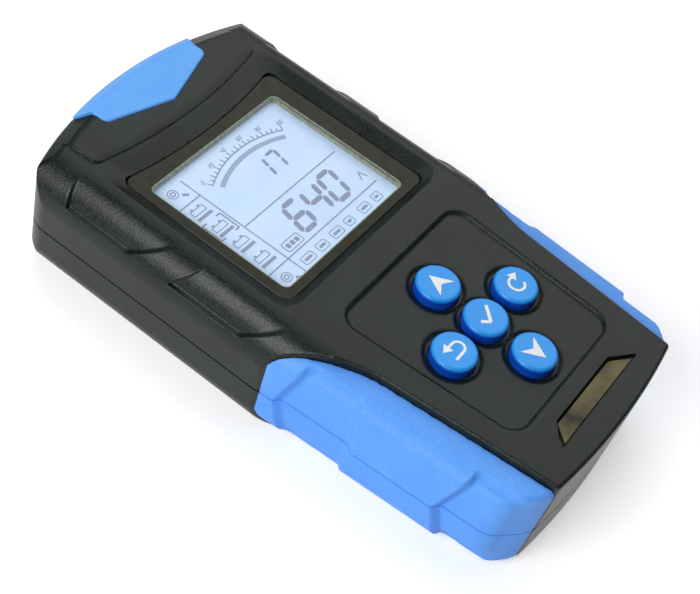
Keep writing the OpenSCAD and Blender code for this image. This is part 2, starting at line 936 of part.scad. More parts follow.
module main_board() color(board_green) slab(board_low, board_top) difference() {
    union() {
        translate([-board_head_w / 2, board_step_y])
            square([board_head_w, board_top_y - board_step_y]);
        translate([-board_tail_w / 2, board_bot_y])
            square([board_tail_w, board_step_y - board_bot_y + 1]);
    }
    at_points(CASE_SCREWS) circle(case_boss_r + head_gap);
    at_points(BOARD_SCREWS) circle(board_screw_r + shank_gap);
}

module contact_pads() color([0.85, 0.7, 0.3])
    at_keys() slab(board_top, board_top + contact_t) difference() {
        circle(contact_r);
        square([contact_split, 3 * contact_r], center = true);
    }

module keypad_mat() color([0.25, 0.5, 0.85]) slab(board_top, mat_top) difference() {
    translate([0, keys_y]) rounded_rect(-mat_hw, -mat_hw, mat_hw, mat_hw, mat_corner_r);
    at_keys() circle(web_low_r - web_t);
}

module key(p) color(key_blue) translate([p[0] * key_pitch, keys_y + p[1] * key_pitch, 0]) {
    rotate_extrude() {
        translate([0, flange_low]) square([flange_r, flange_t]);
        translate([0, flange_low]) square([key_r - key_edge_r, key_top - flange_low]);
        translate([0, flange_low]) square([key_r, key_top - key_edge_r - flange_low]);
        translate([key_r - key_edge_r, key_top - key_edge_r]) circle(key_edge_r);
        translate([0, pill_low + pill_t]) square([plunger_r, flange_low + eps - pill_low - pill_t]);
    }
}

module web(p) color(key_blue) translate([p[0] * key_pitch, keys_y + p[1] * key_pitch, 0])
    rotate_extrude() polygon([
        [web_low_r - web_t, mat_top], [web_low_r, mat_top],
        [web_high_r, flange_low], [web_high_r - web_t, flange_low]
    ]);

module pill(p) color(chip_black) translate([p[0] * key_pitch, keys_y + p[1] * key_pitch, 0])
    drill(pill_low, pill_low + pill_t, pill_r);

module key_up() key(KEY_PLACES[0]);
module key_down() key(KEY_PLACES[1]);
module key_enter() key(KEY_PLACES[2]);
module key_back() key(KEY_PLACES[3]);
module key_reset() key(KEY_PLACES[4]);
module web_up() web(KEY_PLACES[0]);
module web_down() web(KEY_PLACES[1]);
module web_enter() web(KEY_PLACES[2]);
module web_back() web(KEY_PLACES[3]);
module web_reset() web(KEY_PLACES[4]);
module pill_up() pill(KEY_PLACES[0]);
module pill_down() pill(KEY_PLACES[1]);
module pill_enter() pill(KEY_PLACES[2]);
module pill_back() pill(KEY_PLACES[3]);
module pill_reset() pill(KEY_PLACES[4]);

// Pieces on the underside of the board

// Flat package with legs on its long sides
module flat_chip(w, l, legs) {
    pitch = (l - 2 * chip_end - leg_w) / (legs - 1);
    translate([-w / 2, -l / 2, -chip_t - chip_lift]) cube([w, l, chip_t]);
    for (i = [0:legs - 1])
        translate([-w / 2 - leg_out, chip_end - l / 2 + i * pitch, -chip_t / 2])
            cube([w + 2 * leg_out, leg_w, chip_t / 2]);
}

module microcontroller() color(chip_black)
    translate([0, chip_y, board_low]) flat_chip(micro_w, micro_w, 16);

module signal_chips() color(chip_black)
    for (x = [-signal_pitch, 0, signal_pitch])
        translate([x, signal_y, board_low]) flat_chip(signal_w, signal_len, 8);

module load_transistors() color(chip_black)
    both_sides() translate([transistor_x - transistor_w / 2, transistor_y, board_low]) {
        translate([0, 0, -transistor_t]) cube([transistor_w, transistor_len, transistor_t]);
        translate([0, transistor_len, -tab_t]) cube([transistor_w, tab_len, tab_t]);
    }

module load_resistors() color([0.9, 0.88, 0.82])
    both_sides() translate([resistor_x, keys_y, board_low - resistor_w])
        translate([-resistor_w / 2, resistor_low, 0]) cube([resistor_w, resistor_len, resistor_w]);

module capacitors() color([0.15, 0.2, 0.45])
    both_sides() translate([capacitor_x, capacitor_y, 0])
        drill(board_low - capacitor_h, board_low, capacitor_r);

module buzzer() color(chip_black) translate([0, buzzer_y, 0]) difference() {
    drill(board_low - buzzer_h, board_low, buzzer_r);
    drill(board_low - buzzer_h - 1, board_low - buzzer_h + buzzer_bore, buzzer_hole_r);
}

module crystal() color(metal_grey) translate([crystal_x, chip_y, 0])
    slab(board_low - crystal_h, board_low)
        rounded_rect(-crystal_hw, -crystal_hl, crystal_hw, crystal_hl, crystal_r);

// The lead's way in

module lead_bush() color([0.12, 0.12, 0.12])
    translate([0, bush_low_y, joint_h]) rotate([-90, 0, 0]) difference() {
        union() {
            cylinder(h = bush_flange_t, r = bush_flange_r);
            cylinder(h = bush_high_y - bush_low_y, r = bush_r);
        }
        translate([0, 0, -1]) cylinder(h = bush_high_y - bush_low_y + 2, r = lead_r);
    }

module at_terminals() {
    for (i = [0:terminal_count - 1]) translate([(i + 0.5) * terminal_pitch - terminal_w / 2, 0, 0])
        children();
}

module lead_terminals() color([0.2, 0.45, 0.25]) difference() {
    translate([-terminal_w / 2, terminal_y - terminal_len, board_low - terminal_h])
        cube([terminal_w, terminal_len, terminal_h]);
    at_terminals() translate([0, terminal_y + 1, wire_hole_z])
        rotate([90, 0, 0]) cylinder(h = terminal_len - 1, r = wire_hole_r);
    at_terminals() translate([0, terminal_y - terminal_len / 2, board_low - terminal_h])
        drill(-1, clamp_hole_depth, clamp_hole_r);
}

// Screws

module board_screws() color(metal_grey) at_points(BOARD_SCREWS) difference() {
    union() {
        drill(board_low - board_head_t, board_low, board_head_r);
        drill(board_low - eps, board_top + board_bite, board_screw_r);
    }
    drill(board_low - board_head_t - 1, board_low - board_head_t / 2, board_drive_r);
}

module case_screws() color(metal_grey) at_points(CASE_SCREWS) difference() {
    union() {
        drill(case_seat_z - case_head_t, case_seat_z, case_head_r);
        drill(case_seat_z - eps, joint_h + case_bite, case_screw_r);
    }
    drill(case_seat_z - case_head_t - 1, case_seat_z - case_head_t / 2, case_drive_r);
}

front_shell();
rear_shell();
left_front_grip();
right_front_grip();
left_rear_grip();
right_rear_grip();
end_cap();
nameplate();
display_window();
window_tape();
lcd_glass();
lcd_holder();
backlight_panel();
zebra_strip();
main_board();
contact_pads();
keypad_mat();
key_up();
key_down();
key_enter();
key_back();
key_reset();
web_up();
web_down();
web_enter();
web_back();
web_reset();
pill_up();
pill_down();
pill_enter();
pill_back();
pill_reset();
microcontroller();
signal_chips();
load_transistors();
load_resistors();
capacitors();
buzzer();
crystal();
lead_bush();
lead_terminals();
board_screws();
case_screws();
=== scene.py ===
import math

import bpy
import numpy as np
from mathutils import Matrix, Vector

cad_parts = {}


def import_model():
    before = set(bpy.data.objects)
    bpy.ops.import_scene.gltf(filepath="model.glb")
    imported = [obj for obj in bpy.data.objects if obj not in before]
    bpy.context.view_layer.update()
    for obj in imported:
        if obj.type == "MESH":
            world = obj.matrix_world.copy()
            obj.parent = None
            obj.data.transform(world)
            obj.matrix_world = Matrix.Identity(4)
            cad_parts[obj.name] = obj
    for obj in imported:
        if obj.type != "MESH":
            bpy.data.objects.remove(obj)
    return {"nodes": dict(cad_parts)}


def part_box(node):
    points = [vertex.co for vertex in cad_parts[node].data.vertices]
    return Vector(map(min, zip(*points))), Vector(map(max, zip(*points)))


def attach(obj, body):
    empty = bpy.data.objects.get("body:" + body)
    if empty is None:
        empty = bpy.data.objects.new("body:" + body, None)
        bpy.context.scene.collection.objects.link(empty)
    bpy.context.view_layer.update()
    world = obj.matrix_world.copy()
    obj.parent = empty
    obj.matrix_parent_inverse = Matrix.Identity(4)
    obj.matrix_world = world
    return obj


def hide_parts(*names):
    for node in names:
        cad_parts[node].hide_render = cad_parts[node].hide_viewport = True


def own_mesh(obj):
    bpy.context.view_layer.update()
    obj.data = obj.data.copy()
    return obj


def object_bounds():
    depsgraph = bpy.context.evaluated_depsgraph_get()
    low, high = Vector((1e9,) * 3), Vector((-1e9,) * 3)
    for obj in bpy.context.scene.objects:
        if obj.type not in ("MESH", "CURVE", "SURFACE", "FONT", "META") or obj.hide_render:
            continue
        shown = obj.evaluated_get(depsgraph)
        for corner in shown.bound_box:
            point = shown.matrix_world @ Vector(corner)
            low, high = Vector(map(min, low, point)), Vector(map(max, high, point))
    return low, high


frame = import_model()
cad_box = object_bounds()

# Sizes are in millimetres in the CAD frame, and meshes are scaled to metres as they are made.
# The floor and the lamps are given in metres.
MM = 0.001
KEYS = ("up", "down", "enter", "back", "reset")


def cad(node):
    """Lowest and highest corner of a CAD node."""
    return [np.array(corner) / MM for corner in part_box(node)]


def middle(node):
    low, high = cad(node)
    return (low + high) / 2


# Sizes read from the frame
(_, BOT_Y, _), (HEAD_HW, TOP_Y, JOINT_Z) = cad("rear_shell")
PLATFORM_Z = cad("front_shell")[1][2]
CAP_Z = cad("end_cap")[1][2]
CAP_LOW_Z = cad("end_cap")[0][2]
(_, WINDOW_LOW_Y, WINDOW_LOW_Z), (WINDOW_HW, _, WINDOW_TOP) = cad("display_window")
LCD_TOP = cad("lcd_glass")[1][2]
LEDGE_Z = cad("window_tape")[0][2]
KEY_PLACE = {name: middle(f"key_{name}")[:2] for name in KEYS}
KEY_TOP = cad("key_enter")[1][2]
FLANGE_R = (cad("key_enter")[1] - cad("key_enter")[0])[0] / 2
MAT_TOP = cad("keypad_mat")[1][2]
BOARD_TOP = cad("main_board")[1][2]
KEYS_Y = KEY_PLACE["enter"][1]

# Case
PLATFORM_RISE = 1
FACE_Z = PLATFORM_Z - PLATFORM_RISE
FAR_Z = 3 * FACE_Z
WALL = 2.4
CEILING_Z = FACE_Z - WALL
SHOULDER_R = 13
BACK_R = 9
END_ARC_R = 130
END_BACK_R = 8
ARC_Y = TOP_Y - END_ARC_R
CORNER_R = 5
NECK_Y = BOT_Y + 87.3
HEAD_LOW_Y = NECK_Y - 15
HANDLE_TOP_Y = NECK_Y + 10
SEAM_R = 0.25
SEAM_GAP = 0.45
EDGE_R = 0.35
STRIP_EDGE_R = 0.9
GRIP_GAP = 0.12
FIT_GAP = 0.15
OVERLAP = 1

# Handle; a pocket is given by its low end, its high end, its depth and its reach over the front
GRIP_HW = HEAD_HW - 0.2
GRIP_TAPER = math.radians(3.4)
GRIP_T = 2.5
GRIP_LOW = 0.8
GRIP_HIGH = FACE_Z - 2.4
GRIP_FRONT_R = 6
GRIP_BACK_R = 9.5
GRIP_FLAT = 13
GRIP_FALL = math.radians(8)
GRIP_END_R = 2.5
GRIP_EDGE_R = 2.4
POCKETS = ((-32.5, -5.5, 2.1, 4.9), (-100, -59, 2.6, 6.2))
POCKETS_SPLIT = -46
POCKET_RUN = 2.2
POCKET_LEAN = (0.13, 0.32)
POCKET_TOP_LEAN = 0.15
POCKET_CORNER_R = 1.6
POCKET_BLEND = 0.4
POCKET_EDGE = 0.3
STRIP_END_HW = GRIP_HW - math.tan(GRIP_TAPER) * (NECK_Y - BOT_Y) - 13.1
STRIP_TAPER = math.radians(5.1)
FLARE_SLOPE = math.radians(42)
FLARE_R = 14
TAIL_HW = 40
TAIL_LEN = 7.2
TAIL_TAPER = 0.35
TAIL_STEP = 5.2
TAIL_STEP_RUN = 6.4
TAIL_STEP_R = 1.2
TAIL_CORNER_R = 6
TAIL_ARC_R = 238
TAIL_FRONT_R = 1.2
TAIL_BACK_R = 3

# Scoops in the shoulders: each leaves the shoulder at a slight angle and dips to a flat ledge;
# a scoop is given by its high end, its length and the lean of its high end
INNER_SHOULDER_R = 16
SCOOP_DEPTH = 1.7
SCOOP_DROP = 8
SCOOP_Z = FACE_Z - SCOOP_DROP
SCOOP_EDGE = math.radians(20)
SCOOP_DIP = math.radians(10)
SCOOP_LOW_LEAN = -1.62
SCOOPS = ((TOP_Y - 23.3, 22.5, 0.32), (TOP_Y - 61.1, 25.7, -0.96))
SCOOP_EDGE_R = 0.3
SCOOP_FOOT_R = 0.6

# Display frame and platform
BOW_R = 173
BOW_Y = TOP_Y - 33.2 + BOW_R
BEZEL_SIDE = 4.6
BEZEL_LOW = 3
BEZEL_HIGH = 6.3
BEZEL_CORNER_R = 3
BEZEL_EDGE_R = 0.25
WINDOW_CORNER_R = 3
WINDOW_SINK = FACE_Z - WINDOW_TOP
WINDOW_HIGH_Y = BOW_Y - BOW_R
PLATFORM_GAP = BEZEL_HIGH + 0.6
PLATFORM_SIDE = ((37.4, WINDOW_HIGH_Y), (38, TOP_Y - 12.4), (37.4, TOP_Y))
PLATFORM_CORNER_R = 2.5
PLATFORM_EDGE_R = 0.3
PLATFORM_LEAN = 0.4
TUB_WALL = 2.6
OPENING_X = (-31.45, 33.15)
OPENING_Y = (3.4, 56.6)

# Recess of the keys
KEY_R = 6.95
KEY_HOLE_R = 7.25
DECK_Z = FACE_Z - 1.1
DISH_Z = DECK_Z - 1
DECK_LOW = DISH_Z - 2.2
DISH_R = 9.4
DISH_SLOPE = 1.5
DECK_TOP = (30.6, KEYS_Y + 31)
DECK_BOTTOM = (27.3, KEYS_Y - 28.4)
DECK_CORNER_R = 6
DECK_RUN = 1.3
DECK_EDGE_R = 0.3
DECK_RIM = 1
MAT_HW = 27.2
MAT_RIB = 1.2

# Nameplate, tilted so that its upper edge sinks into the face
PLATE_Y = KEYS_Y - 39.5
PLATE_TILT = math.radians(12.5)
PLATE_W = 5.5
PLATE_T = 1
PLATE_LOW_HW = 20.2
PLATE_HIGH_HW = 15.2
PLATE_FLARE = 2.6

# End cap; a slope is given by its run and its drop
CAP_T = 3
CAP_END_T = 1.4
CAP_EDGE_R = 0.8
CAP_CORNER_R = 1.8
CAP_SLOPE = (4.5, 3.4)
END_SLOPE = (6.3, 4)
HEAD_SLOPE = (4.8, 3)
FOLD_R = 0.8
CREASE_R = 0.5
CAP_TIP_Y = TOP_Y - 20.1
CAP_SIDE = (23.2, TOP_Y - 13.1)
CAP_FLARE = (23.2, TOP_Y - 7.4)
CAP_WIDE = (26.6, TOP_Y - 3.6)

# Screws and lead
CASE_SCREWS = ((41, TOP_Y - 22.3), (41, NECK_Y - 1), (STRIP_END_HW - 5.3, BOT_Y + 8.3))
BOARD_SCREWS = ((34, TOP_Y - 21.3), (30, NECK_Y - 2), (29, BOT_Y + 22.3))
CASE_BOSS_R = 3.6
REAR_BOSS_R = 4.2
BOARD_BOSS_R = 3
CASE_SEAT_Z = 6
CASE_HEAD_R = 2.8
CASE_HEAD_T = 2
CASE_SCREW_R = 1.5
CASE_SCREW_TOP = JOINT_Z + 10
HEAD_PLAY = 0.4
SCREW_PLAY = 0.2
BOARD_SCREW_R = 1.25
BOARD_HOLE_TOP = BOARD_TOP + 5
GLAND_HW = 10.9
GLAND_Y = TOP_Y - 6
BUSH_HOLE_R = 6.55


# Solids as fields: negative inside, positive outside, about the distance to the surface

def meet(a, b, r):
    """What two solids share, with the edge rounded to radius r."""
    corner = np.hypot(np.maximum(a + r, 0), np.maximum(b + r, 0))
    return np.minimum(np.maximum(a, b), -r) + corner


def join(a, b, r):
    """Two solids together, with the inner corner rounded to radius r."""
    return -meet(-a, -b, r)


def cut(a, b, r):
    """The first solid without the second, with the edge rounded to radius r."""
    return meet(a, -b, r)


def inside_all(*fields):
    out = fields[0]
    for field in fields[1:]:
        out = np.maximum(out, field)
    return out


def inside_any(*fields):
    out = fields[0]
    for field in fields[1:]:
        out = np.minimum(out, field)
    return out


def right_of(x, y, p, q):
    """Distance to the right of the line that goes from p to q."""
    dx, dy = q[0] - p[0], q[1] - p[1]
    return ((x - p[0]) * dy - (y - p[1]) * dx) / math.hypot(dx, dy)


def bar(u, z, reach, low, high, r_low, r_high):
    """Slab u < reach between two heights, with a round edge at each."""
    mid = (low + high) / 2
    r = np.where(z > mid, r_high, r_low)
    a = u - reach + r
    b = np.abs(z - mid) - (high - low) / 2 + r
    return np.minimum(np.maximum(a, b), 0) + np.hypot(np.maximum(a, 0), np.maximum(b, 0)) - r


def box(x, y, z, x0, x1, y0, y1, z0, z1):
    return inside_all(x0 - x, x - x1, y0 - y, y - y1, z0 - z, z - z1)


def posts(x, y, z, points, r, z0, z1):
    """Upright cylinders at points and at their mirror images."""
    near = inside_any(*[np.hypot(np.abs(x) - px, y - py) for px, py in points])
    return inside_all(near - r, z0 - z, z - z1)


def end_arc(x, y):
    return np.hypot(x, y - ARC_Y)


def fold(a, z, top, slope):
    """Slope along the front edge of an end: it starts a run in from the end and falls by a drop."""
    run, drop = slope
    return (a * drop + (z - top) * run + run * drop) / math.hypot(run, drop)


def end_skin(x, y, z, inset, top, slope):
    """Inside of the bowed top end up to a height, with a folded slope along its front edge."""
    a = end_arc(x, y) - END_ARC_R + inset
    back = bar(a, z, 0, 0, FAR_Z, END_BACK_R, END_BACK_R)
    return np.maximum(meet(meet(a, fold(a, z, top, slope), FOLD_R), z - top, FOLD_R), back)


def head(x, y, z):
    """The head: round long edges, and a crisp slope along the top end."""
    end = end_arc(x, y) - END_ARC_R
    plan = meet(np.abs(x) - HEAD_HW, end, CORNER_R)
    slope = fold(end, z, FACE_Z, HEAD_SLOPE)
    section = bar(np.abs(x), z, HEAD_HW, 0, FACE_Z, BACK_R, SHOULDER_R)
    back = bar(plan, z, 0, 0, FAR_Z, END_BACK_R, END_BACK_R)
    return inside_all(meet(section, slope, CREASE_R), meet(plan, slope, FOLD_R), back)


def flare_point():
    """Where the sides of the face strip turn out towards the head."""
    t, c = math.tan(STRIP_TAPER), 1 / math.tan(FLARE_SLOPE)
    strip_at_neck = STRIP_END_HW + t * (NECK_Y - BOT_Y)
    y = NECK_Y - (HEAD_HW - strip_at_neck) / (c - t)
    return STRIP_END_HW + t * (y - BOT_Y), y


def hard_plan(x, y):
    """Plan of the hard face: the strip, its flare and the head."""
    flare = flare_point()
    strip = right_of(np.abs(x), y, (STRIP_END_HW, BOT_Y), flare)
    slope = right_of(np.abs(x), y, flare, (HEAD_HW, NECK_Y))
    return join(strip, slope, FLARE_R)


def tail_plan(x, y):
    """Plan of the narrowed bottom end."""
    y0 = BOT_Y + TAIL_LEN
    step = right_of(np.abs(x), y, (TAIL_HW, y0), (TAIL_HW + TAIL_STEP_RUN, y0 + TAIL_STEP))
    side = right_of(np.abs(x), y, (TAIL_HW - TAIL_TAPER, y0 - 1), (TAIL_HW, y0))
    end = np.hypot(x, y - BOT_Y - TAIL_ARC_R) - TAIL_ARC_R
    return meet(join(side, step, TAIL_STEP_R), end, TAIL_CORNER_R)


def grip_section(u, z, depth):
    """Section of a grip, drawn in by a depth: a flat top, a slight fall and a round front edge."""
    fall = (u + GRIP_FLAT) * math.sin(GRIP_FALL) + (z - GRIP_HIGH) * math.cos(GRIP_FALL) + depth
    front = meet(fall, u + depth, GRIP_FRONT_R - depth)
    back = bar(u, z, -depth, GRIP_LOW + depth, FAR_Z, GRIP_BACK_R - depth, 1)
    return inside_all(front, back, z - GRIP_HIGH + depth)


def handle(x, y, z):
    """The whole handle with the finger pockets in its sides."""
    across, along = np.abs(x) - GRIP_HW, y - NECK_Y
    u = across * math.cos(GRIP_TAPER) - along * math.sin(GRIP_TAPER)
    v = across * math.sin(GRIP_TAPER) + along * math.cos(GRIP_TAPER)
    skin = out = grip_section(u, z, 0)
    off_seam = np.abs(z - JOINT_Z)
    for low, high, depth, reach in POCKETS:
        slope = POCKET_RUN / depth
        ends = np.maximum(low + POCKET_LEAN[0] * off_seam - v, v - high + POCKET_LEAN[1] * off_seam)
        top = -u - reach - POCKET_TOP_LEAN * skin
        room = meet((ends - skin * slope) / math.hypot(1, slope), top, POCKET_CORNER_R)
        out = cut(out, room, POCKET_EDGE)
    floors = [grip_section(u, z, depth) for _, _, depth, _ in POCKETS]
    floor = np.where(v > POCKETS_SPLIT, *floors)
    plan = tail_plan(x, y)
    out = join(meet(out, plan, GRIP_EDGE_R), meet(floor, plan, GRIP_END_R), POCKET_BLEND)
    back_edge = bar(plan, z, 0, GRIP_LOW, FAR_Z, TAIL_BACK_R, TAIL_FRONT_R)
    return inside_all(out, back_edge, y - HANDLE_TOP_Y)


def hard_case(x, y, z):
    """Outside of the hard case, without what the head carries."""
    tail_arc = np.hypot(x, y - BOT_Y - TAIL_ARC_R)
    strip = bar(tail_arc, z, TAIL_ARC_R, 0, FACE_Z, TAIL_BACK_R, TAIL_FRONT_R)
    return meet(np.where(y > HEAD_LOW_Y, head(x, y, z), strip), hard_plan(x, y), STRIP_EDGE_R)


def scoop_circle():
    """Centre and radius of the hollow of the scoops, seen along the case."""
    shoulder = np.array((HEAD_HW - SHOULDER_R, FACE_Z - SHOULDER_R))
    start = shoulder + SHOULDER_R * np.array((math.sin(SCOOP_EDGE), math.cos(SCOOP_EDGE)))
    reach = math.sqrt(SHOULDER_R ** 2 - (SHOULDER_R - SCOOP_DROP) ** 2) - SCOOP_DEPTH
    chord = np.array((HEAD_HW - SHOULDER_R + reach, SCOOP_Z)) - start
    way = np.array((math.sin(SCOOP_EDGE + SCOOP_DIP), math.cos(SCOOP_EDGE + SCOOP_DIP)))
    r = -(chord @ chord) / (2 * (chord @ way))
    return start - r * way, r


def shoulder_scoops(x, y, z):
    """Scoops in both shoulders: a hollow that fades out towards the face, over a flat ledge."""
    centre, r = scoop_circle()
    ax = np.abs(x)
    hollow = np.maximum(r - np.hypot(ax - centre[0], z - centre[1]), centre[0] - ax)
    hollow = meet(hollow, SCOOP_Z - z, SCOOP_FOOT_R)
    ends = []
    for high, length, lean in SCOOPS:
        low = high - length
        ends.append(np.maximum(
            right_of(y, z, (high, SCOOP_Z), (high + lean, SCOOP_Z + 1)),
            -right_of(y, z, (low, SCOOP_Z), (low + SCOOP_LOW_LEAN, SCOOP_Z + 1))))
    return meet(hollow, inside_any(*ends), SCOOP_FOOT_R)


def platform(x, y, z):
    """Raised platform at the top end, with a leaning wall and a bowed lower edge."""
    ax = np.abs(x)
    sides = np.maximum(right_of(ax, y, *PLATFORM_SIDE[:2]), right_of(ax, y, *PLATFORM_SIDE[1:]))
    plan = meet(np.hypot(x, y - BOW_Y) - BOW_R + PLATFORM_GAP, sides, PLATFORM_CORNER_R)
    wall = (plan + (z - FACE_Z) * PLATFORM_LEAN) / math.hypot(1, PLATFORM_LEAN)
    skin = end_skin(x, y, z, 0, PLATFORM_Z, END_SLOPE)
    return inside_all(meet(wall, skin, PLATFORM_EDGE_R), CEILING_Z - z)


def bezel(x, y, z):
    """Recess with sloping sides round the window."""
    rise = z - WINDOW_TOP
    side, low, high = [run / WINDOW_SINK for run in (BEZEL_SIDE, BEZEL_LOW, BEZEL_HIGH)]
    sides = (np.abs(x) - WINDOW_HW - rise * side) / math.hypot(1, side)
    bottom = (WINDOW_LOW_Y - rise * low - y) / math.hypot(1, low)
    top = (BOW_R - rise * high - np.hypot(x, y - BOW_Y)) / math.hypot(1, high)
    room = meet(meet(sides, bottom, BEZEL_CORNER_R), top, BEZEL_CORNER_R)
    return np.maximum(room, WINDOW_TOP - z)


def window_plan(x, y, gap):
    sides = meet(np.abs(x) - WINDOW_HW - gap, WINDOW_LOW_Y - gap - y, BEZEL_CORNER_R)
    return meet(sides, BOW_R - gap - np.hypot(x, y - BOW_Y), WINDOW_CORNER_R)


def deck_plan(x, y):
    sides = -right_of(np.abs(x), y, DECK_TOP, DECK_BOTTOM)
    return meet(meet(sides, y - DECK_TOP[1], DECK_CORNER_R), DECK_BOTTOM[1] - y, DECK_CORNER_R)


def key_distance(x, y):
    return inside_any(*[np.hypot(x - p[0], y - p[1]) for p in KEY_PLACE.values()])


def key_recess(x, y, z):
    """Deck with soft sloping sides, a dish round each key, and the keys' holes."""
    slope = DECK_RUN / (FACE_Z - DECK_Z)
    wall = (deck_plan(x, y) - (z - (FACE_Z + DECK_Z) / 2) * slope) / math.hypot(1, slope)
    deck = meet(wall, DECK_Z - z, DECK_EDGE_R)
    near = key_distance(x, y)
    rim = (near - DISH_R + (DECK_Z - z) * DISH_SLOPE) / math.hypot(1, DISH_SLOPE)
    dish = np.maximum(rim, DISH_Z - z)
    return deck, dish, near - KEY_HOLE_R


def plate_recess(x, y, z):
    """Tilted wedge that holds the nameplate; its ends open out towards the bottom end."""
    along, up = y - PLATE_Y, z - FACE_Z
    v = along * math.cos(PLATE_TILT) - up * math.sin(PLATE_TILT)
    w = along * math.sin(PLATE_TILT) + up * math.cos(PLATE_TILT)
    low, high = (PLATE_LOW_HW + PLATE_FLARE, 0), (PLATE_HIGH_HW + FIT_GAP, PLATE_W)
    ends = right_of(np.abs(x), v, low, high)
    return inside_all(ends, v - PLATE_W - FIT_GAP, -FIT_GAP - v, -PLATE_T - w)


def cap_plan(x, y):
    ax = np.abs(x)
    point = right_of(ax, y, (0, CAP_TIP_Y), CAP_SIDE)
    wide = np.maximum(right_of(ax, y, CAP_FLARE, CAP_WIDE), ax - CAP_WIDE[0])
    return meet(point, np.minimum(ax - CAP_SIDE[0], wide), CAP_CORNER_R)


def cap_seat(x, y, z):
    """What the end cap is stuck on."""
    return end_skin(x, y, z, CAP_END_T, CAP_Z - CAP_T, CAP_SLOPE)


def cap_solid(x, y, z):
    skin = meet(cap_plan(x, y), end_skin(x, y, z, 0, CAP_Z, CAP_SLOPE), CAP_EDGE_R)
    return inside_all(skin, -cap_seat(x, y, z), CAP_LOW_Z - z)


def cap_room(x, y, z):
    return inside_all(cap_plan(x, y) - FIT_GAP, CAP_LOW_Z - FIT_GAP - z, -cap_seat(x, y, z))


def case_space(x, y, z):
    """Space inside the case."""
    section = bar(np.abs(x), z, HEAD_HW - WALL, WALL, CEILING_Z, BACK_R - WALL, INNER_SHOULDER_R)
    in_head = inside_all(head(x, y, z) + WALL, section, NECK_Y + WALL / 2 - y)
    in_handle = handle(x, y, z) + GRIP_T + WALL
    strip_hw = STRIP_END_HW + math.tan(STRIP_TAPER) * (y - BOT_Y)
    in_strip = inside_all(
        np.abs(x) - strip_hw + 2 * WALL, BOT_Y + 2 * WALL - y, y - NECK_Y - 4 * WALL,
        z - CEILING_Z, WALL - z)
    return inside_any(in_head, in_handle, in_strip)


def gland(x, y, z):
    """Thick wall round the lead bush."""
    block = box(
        x, y, z, -GLAND_HW, GLAND_HW, GLAND_Y, TOP_Y, JOINT_Z - GLAND_HW, JOINT_Z + GLAND_HW)
    return np.maximum(head(x, y, z) + WALL / 2, block)


def gland_hole(x, y, z):
    return np.maximum(np.hypot(x, z - JOINT_Z) - BUSH_HOLE_R, GLAND_Y - 2 * GLAND_HW - y)


def front_shell(x, y, z):
    """Upper case half with a tub round the window, the deck of the keys, a rib and bosses."""
    skin = np.minimum(hard_case(x, y, z), handle(x, y, z) + GRIP_T)
    skin = cut(skin, shoulder_scoops(x, y, z), SCOOP_EDGE_R)
    skin = np.minimum(skin, platform(x, y, z))
    skin = meet(skin, JOINT_Z + SEAM_GAP / 2 - z, SEAM_R)
    tub_hw = WINDOW_HW + TUB_WALL
    tub_y = (WINDOW_LOW_Y - BEZEL_LOW - TUB_WALL, WINDOW_HIGH_Y + BEZEL_HIGH + TUB_WALL)
    near_keys = np.maximum(np.abs(x), np.abs(y - KEYS_Y))
    solid = inside_any(
        np.maximum(skin, -case_space(x, y, z)),
        np.maximum(gland(x, y, z), JOINT_Z - z),
        box(x, y, z, -tub_hw, tub_hw, *tub_y, LCD_TOP, CEILING_Z + OVERLAP),
        inside_all(deck_plan(x, y) - DECK_RIM, DECK_LOW - z, z - CEILING_Z - OVERLAP),
        inside_all(near_keys - MAT_HW, MAT_HW - MAT_RIB - near_keys, MAT_TOP - z, z - DECK_LOW),
        posts(x, y, z, BOARD_SCREWS, BOARD_BOSS_R, BOARD_TOP, CEILING_Z + OVERLAP),
        posts(x, y, z, CASE_SCREWS, CASE_BOSS_R, JOINT_Z, CEILING_Z + OVERLAP))
    solid = cut(solid, bezel(x, y, z), BEZEL_EDGE_R)
    seat = np.maximum(window_plan(x, y, FIT_GAP), LEDGE_Z - z)
    opening = inside_all(
        OPENING_X[0] - x, x - OPENING_X[1], OPENING_Y[0] - y, y - OPENING_Y[1])
    deck, dish, holes = key_recess(x, y, z)
    solid = cut(solid, deck, DECK_EDGE_R)
    solid = cut(solid, dish, EDGE_R)
    return inside_all(
        solid, -seat, -np.maximum(opening, LCD_TOP - OVERLAP - z),
        -np.maximum(holes, DECK_LOW - OVERLAP - z),
        -plate_recess(x, y, z), -cap_room(x, y, z), -gland_hole(x, y, z),
        -posts(x, y, z, BOARD_SCREWS, BOARD_SCREW_R, BOARD_TOP - OVERLAP, BOARD_HOLE_TOP),
        -posts(x, y, z, CASE_SCREWS, CASE_SCREW_R, JOINT_Z - OVERLAP, CASE_SCREW_TOP + OVERLAP))


def rear_shell(x, y, z):
    """Lower case half with bosses and wells for the case screws."""
    skin = np.minimum(hard_case(x, y, z), handle(x, y, z) + GRIP_T)
    skin = meet(skin, z - JOINT_Z + SEAM_GAP / 2, SEAM_R)
    solid = inside_any(
        np.maximum(skin, -case_space(x, y, z)),
        np.maximum(gland(x, y, z), z - JOINT_Z),
        posts(x, y, z, CASE_SCREWS, REAR_BOSS_R, WALL - OVERLAP, JOINT_Z))
    wells = posts(x, y, z, CASE_SCREWS, CASE_HEAD_R + HEAD_PLAY, -OVERLAP, CASE_SEAT_Z)
    return inside_all(
        cut(solid, wells, EDGE_R), -gland_hole(x, y, z),
        -posts(x, y, z, CASE_SCREWS, CASE_SCREW_R + SCREW_PLAY, -OVERLAP, JOINT_Z + OVERLAP))


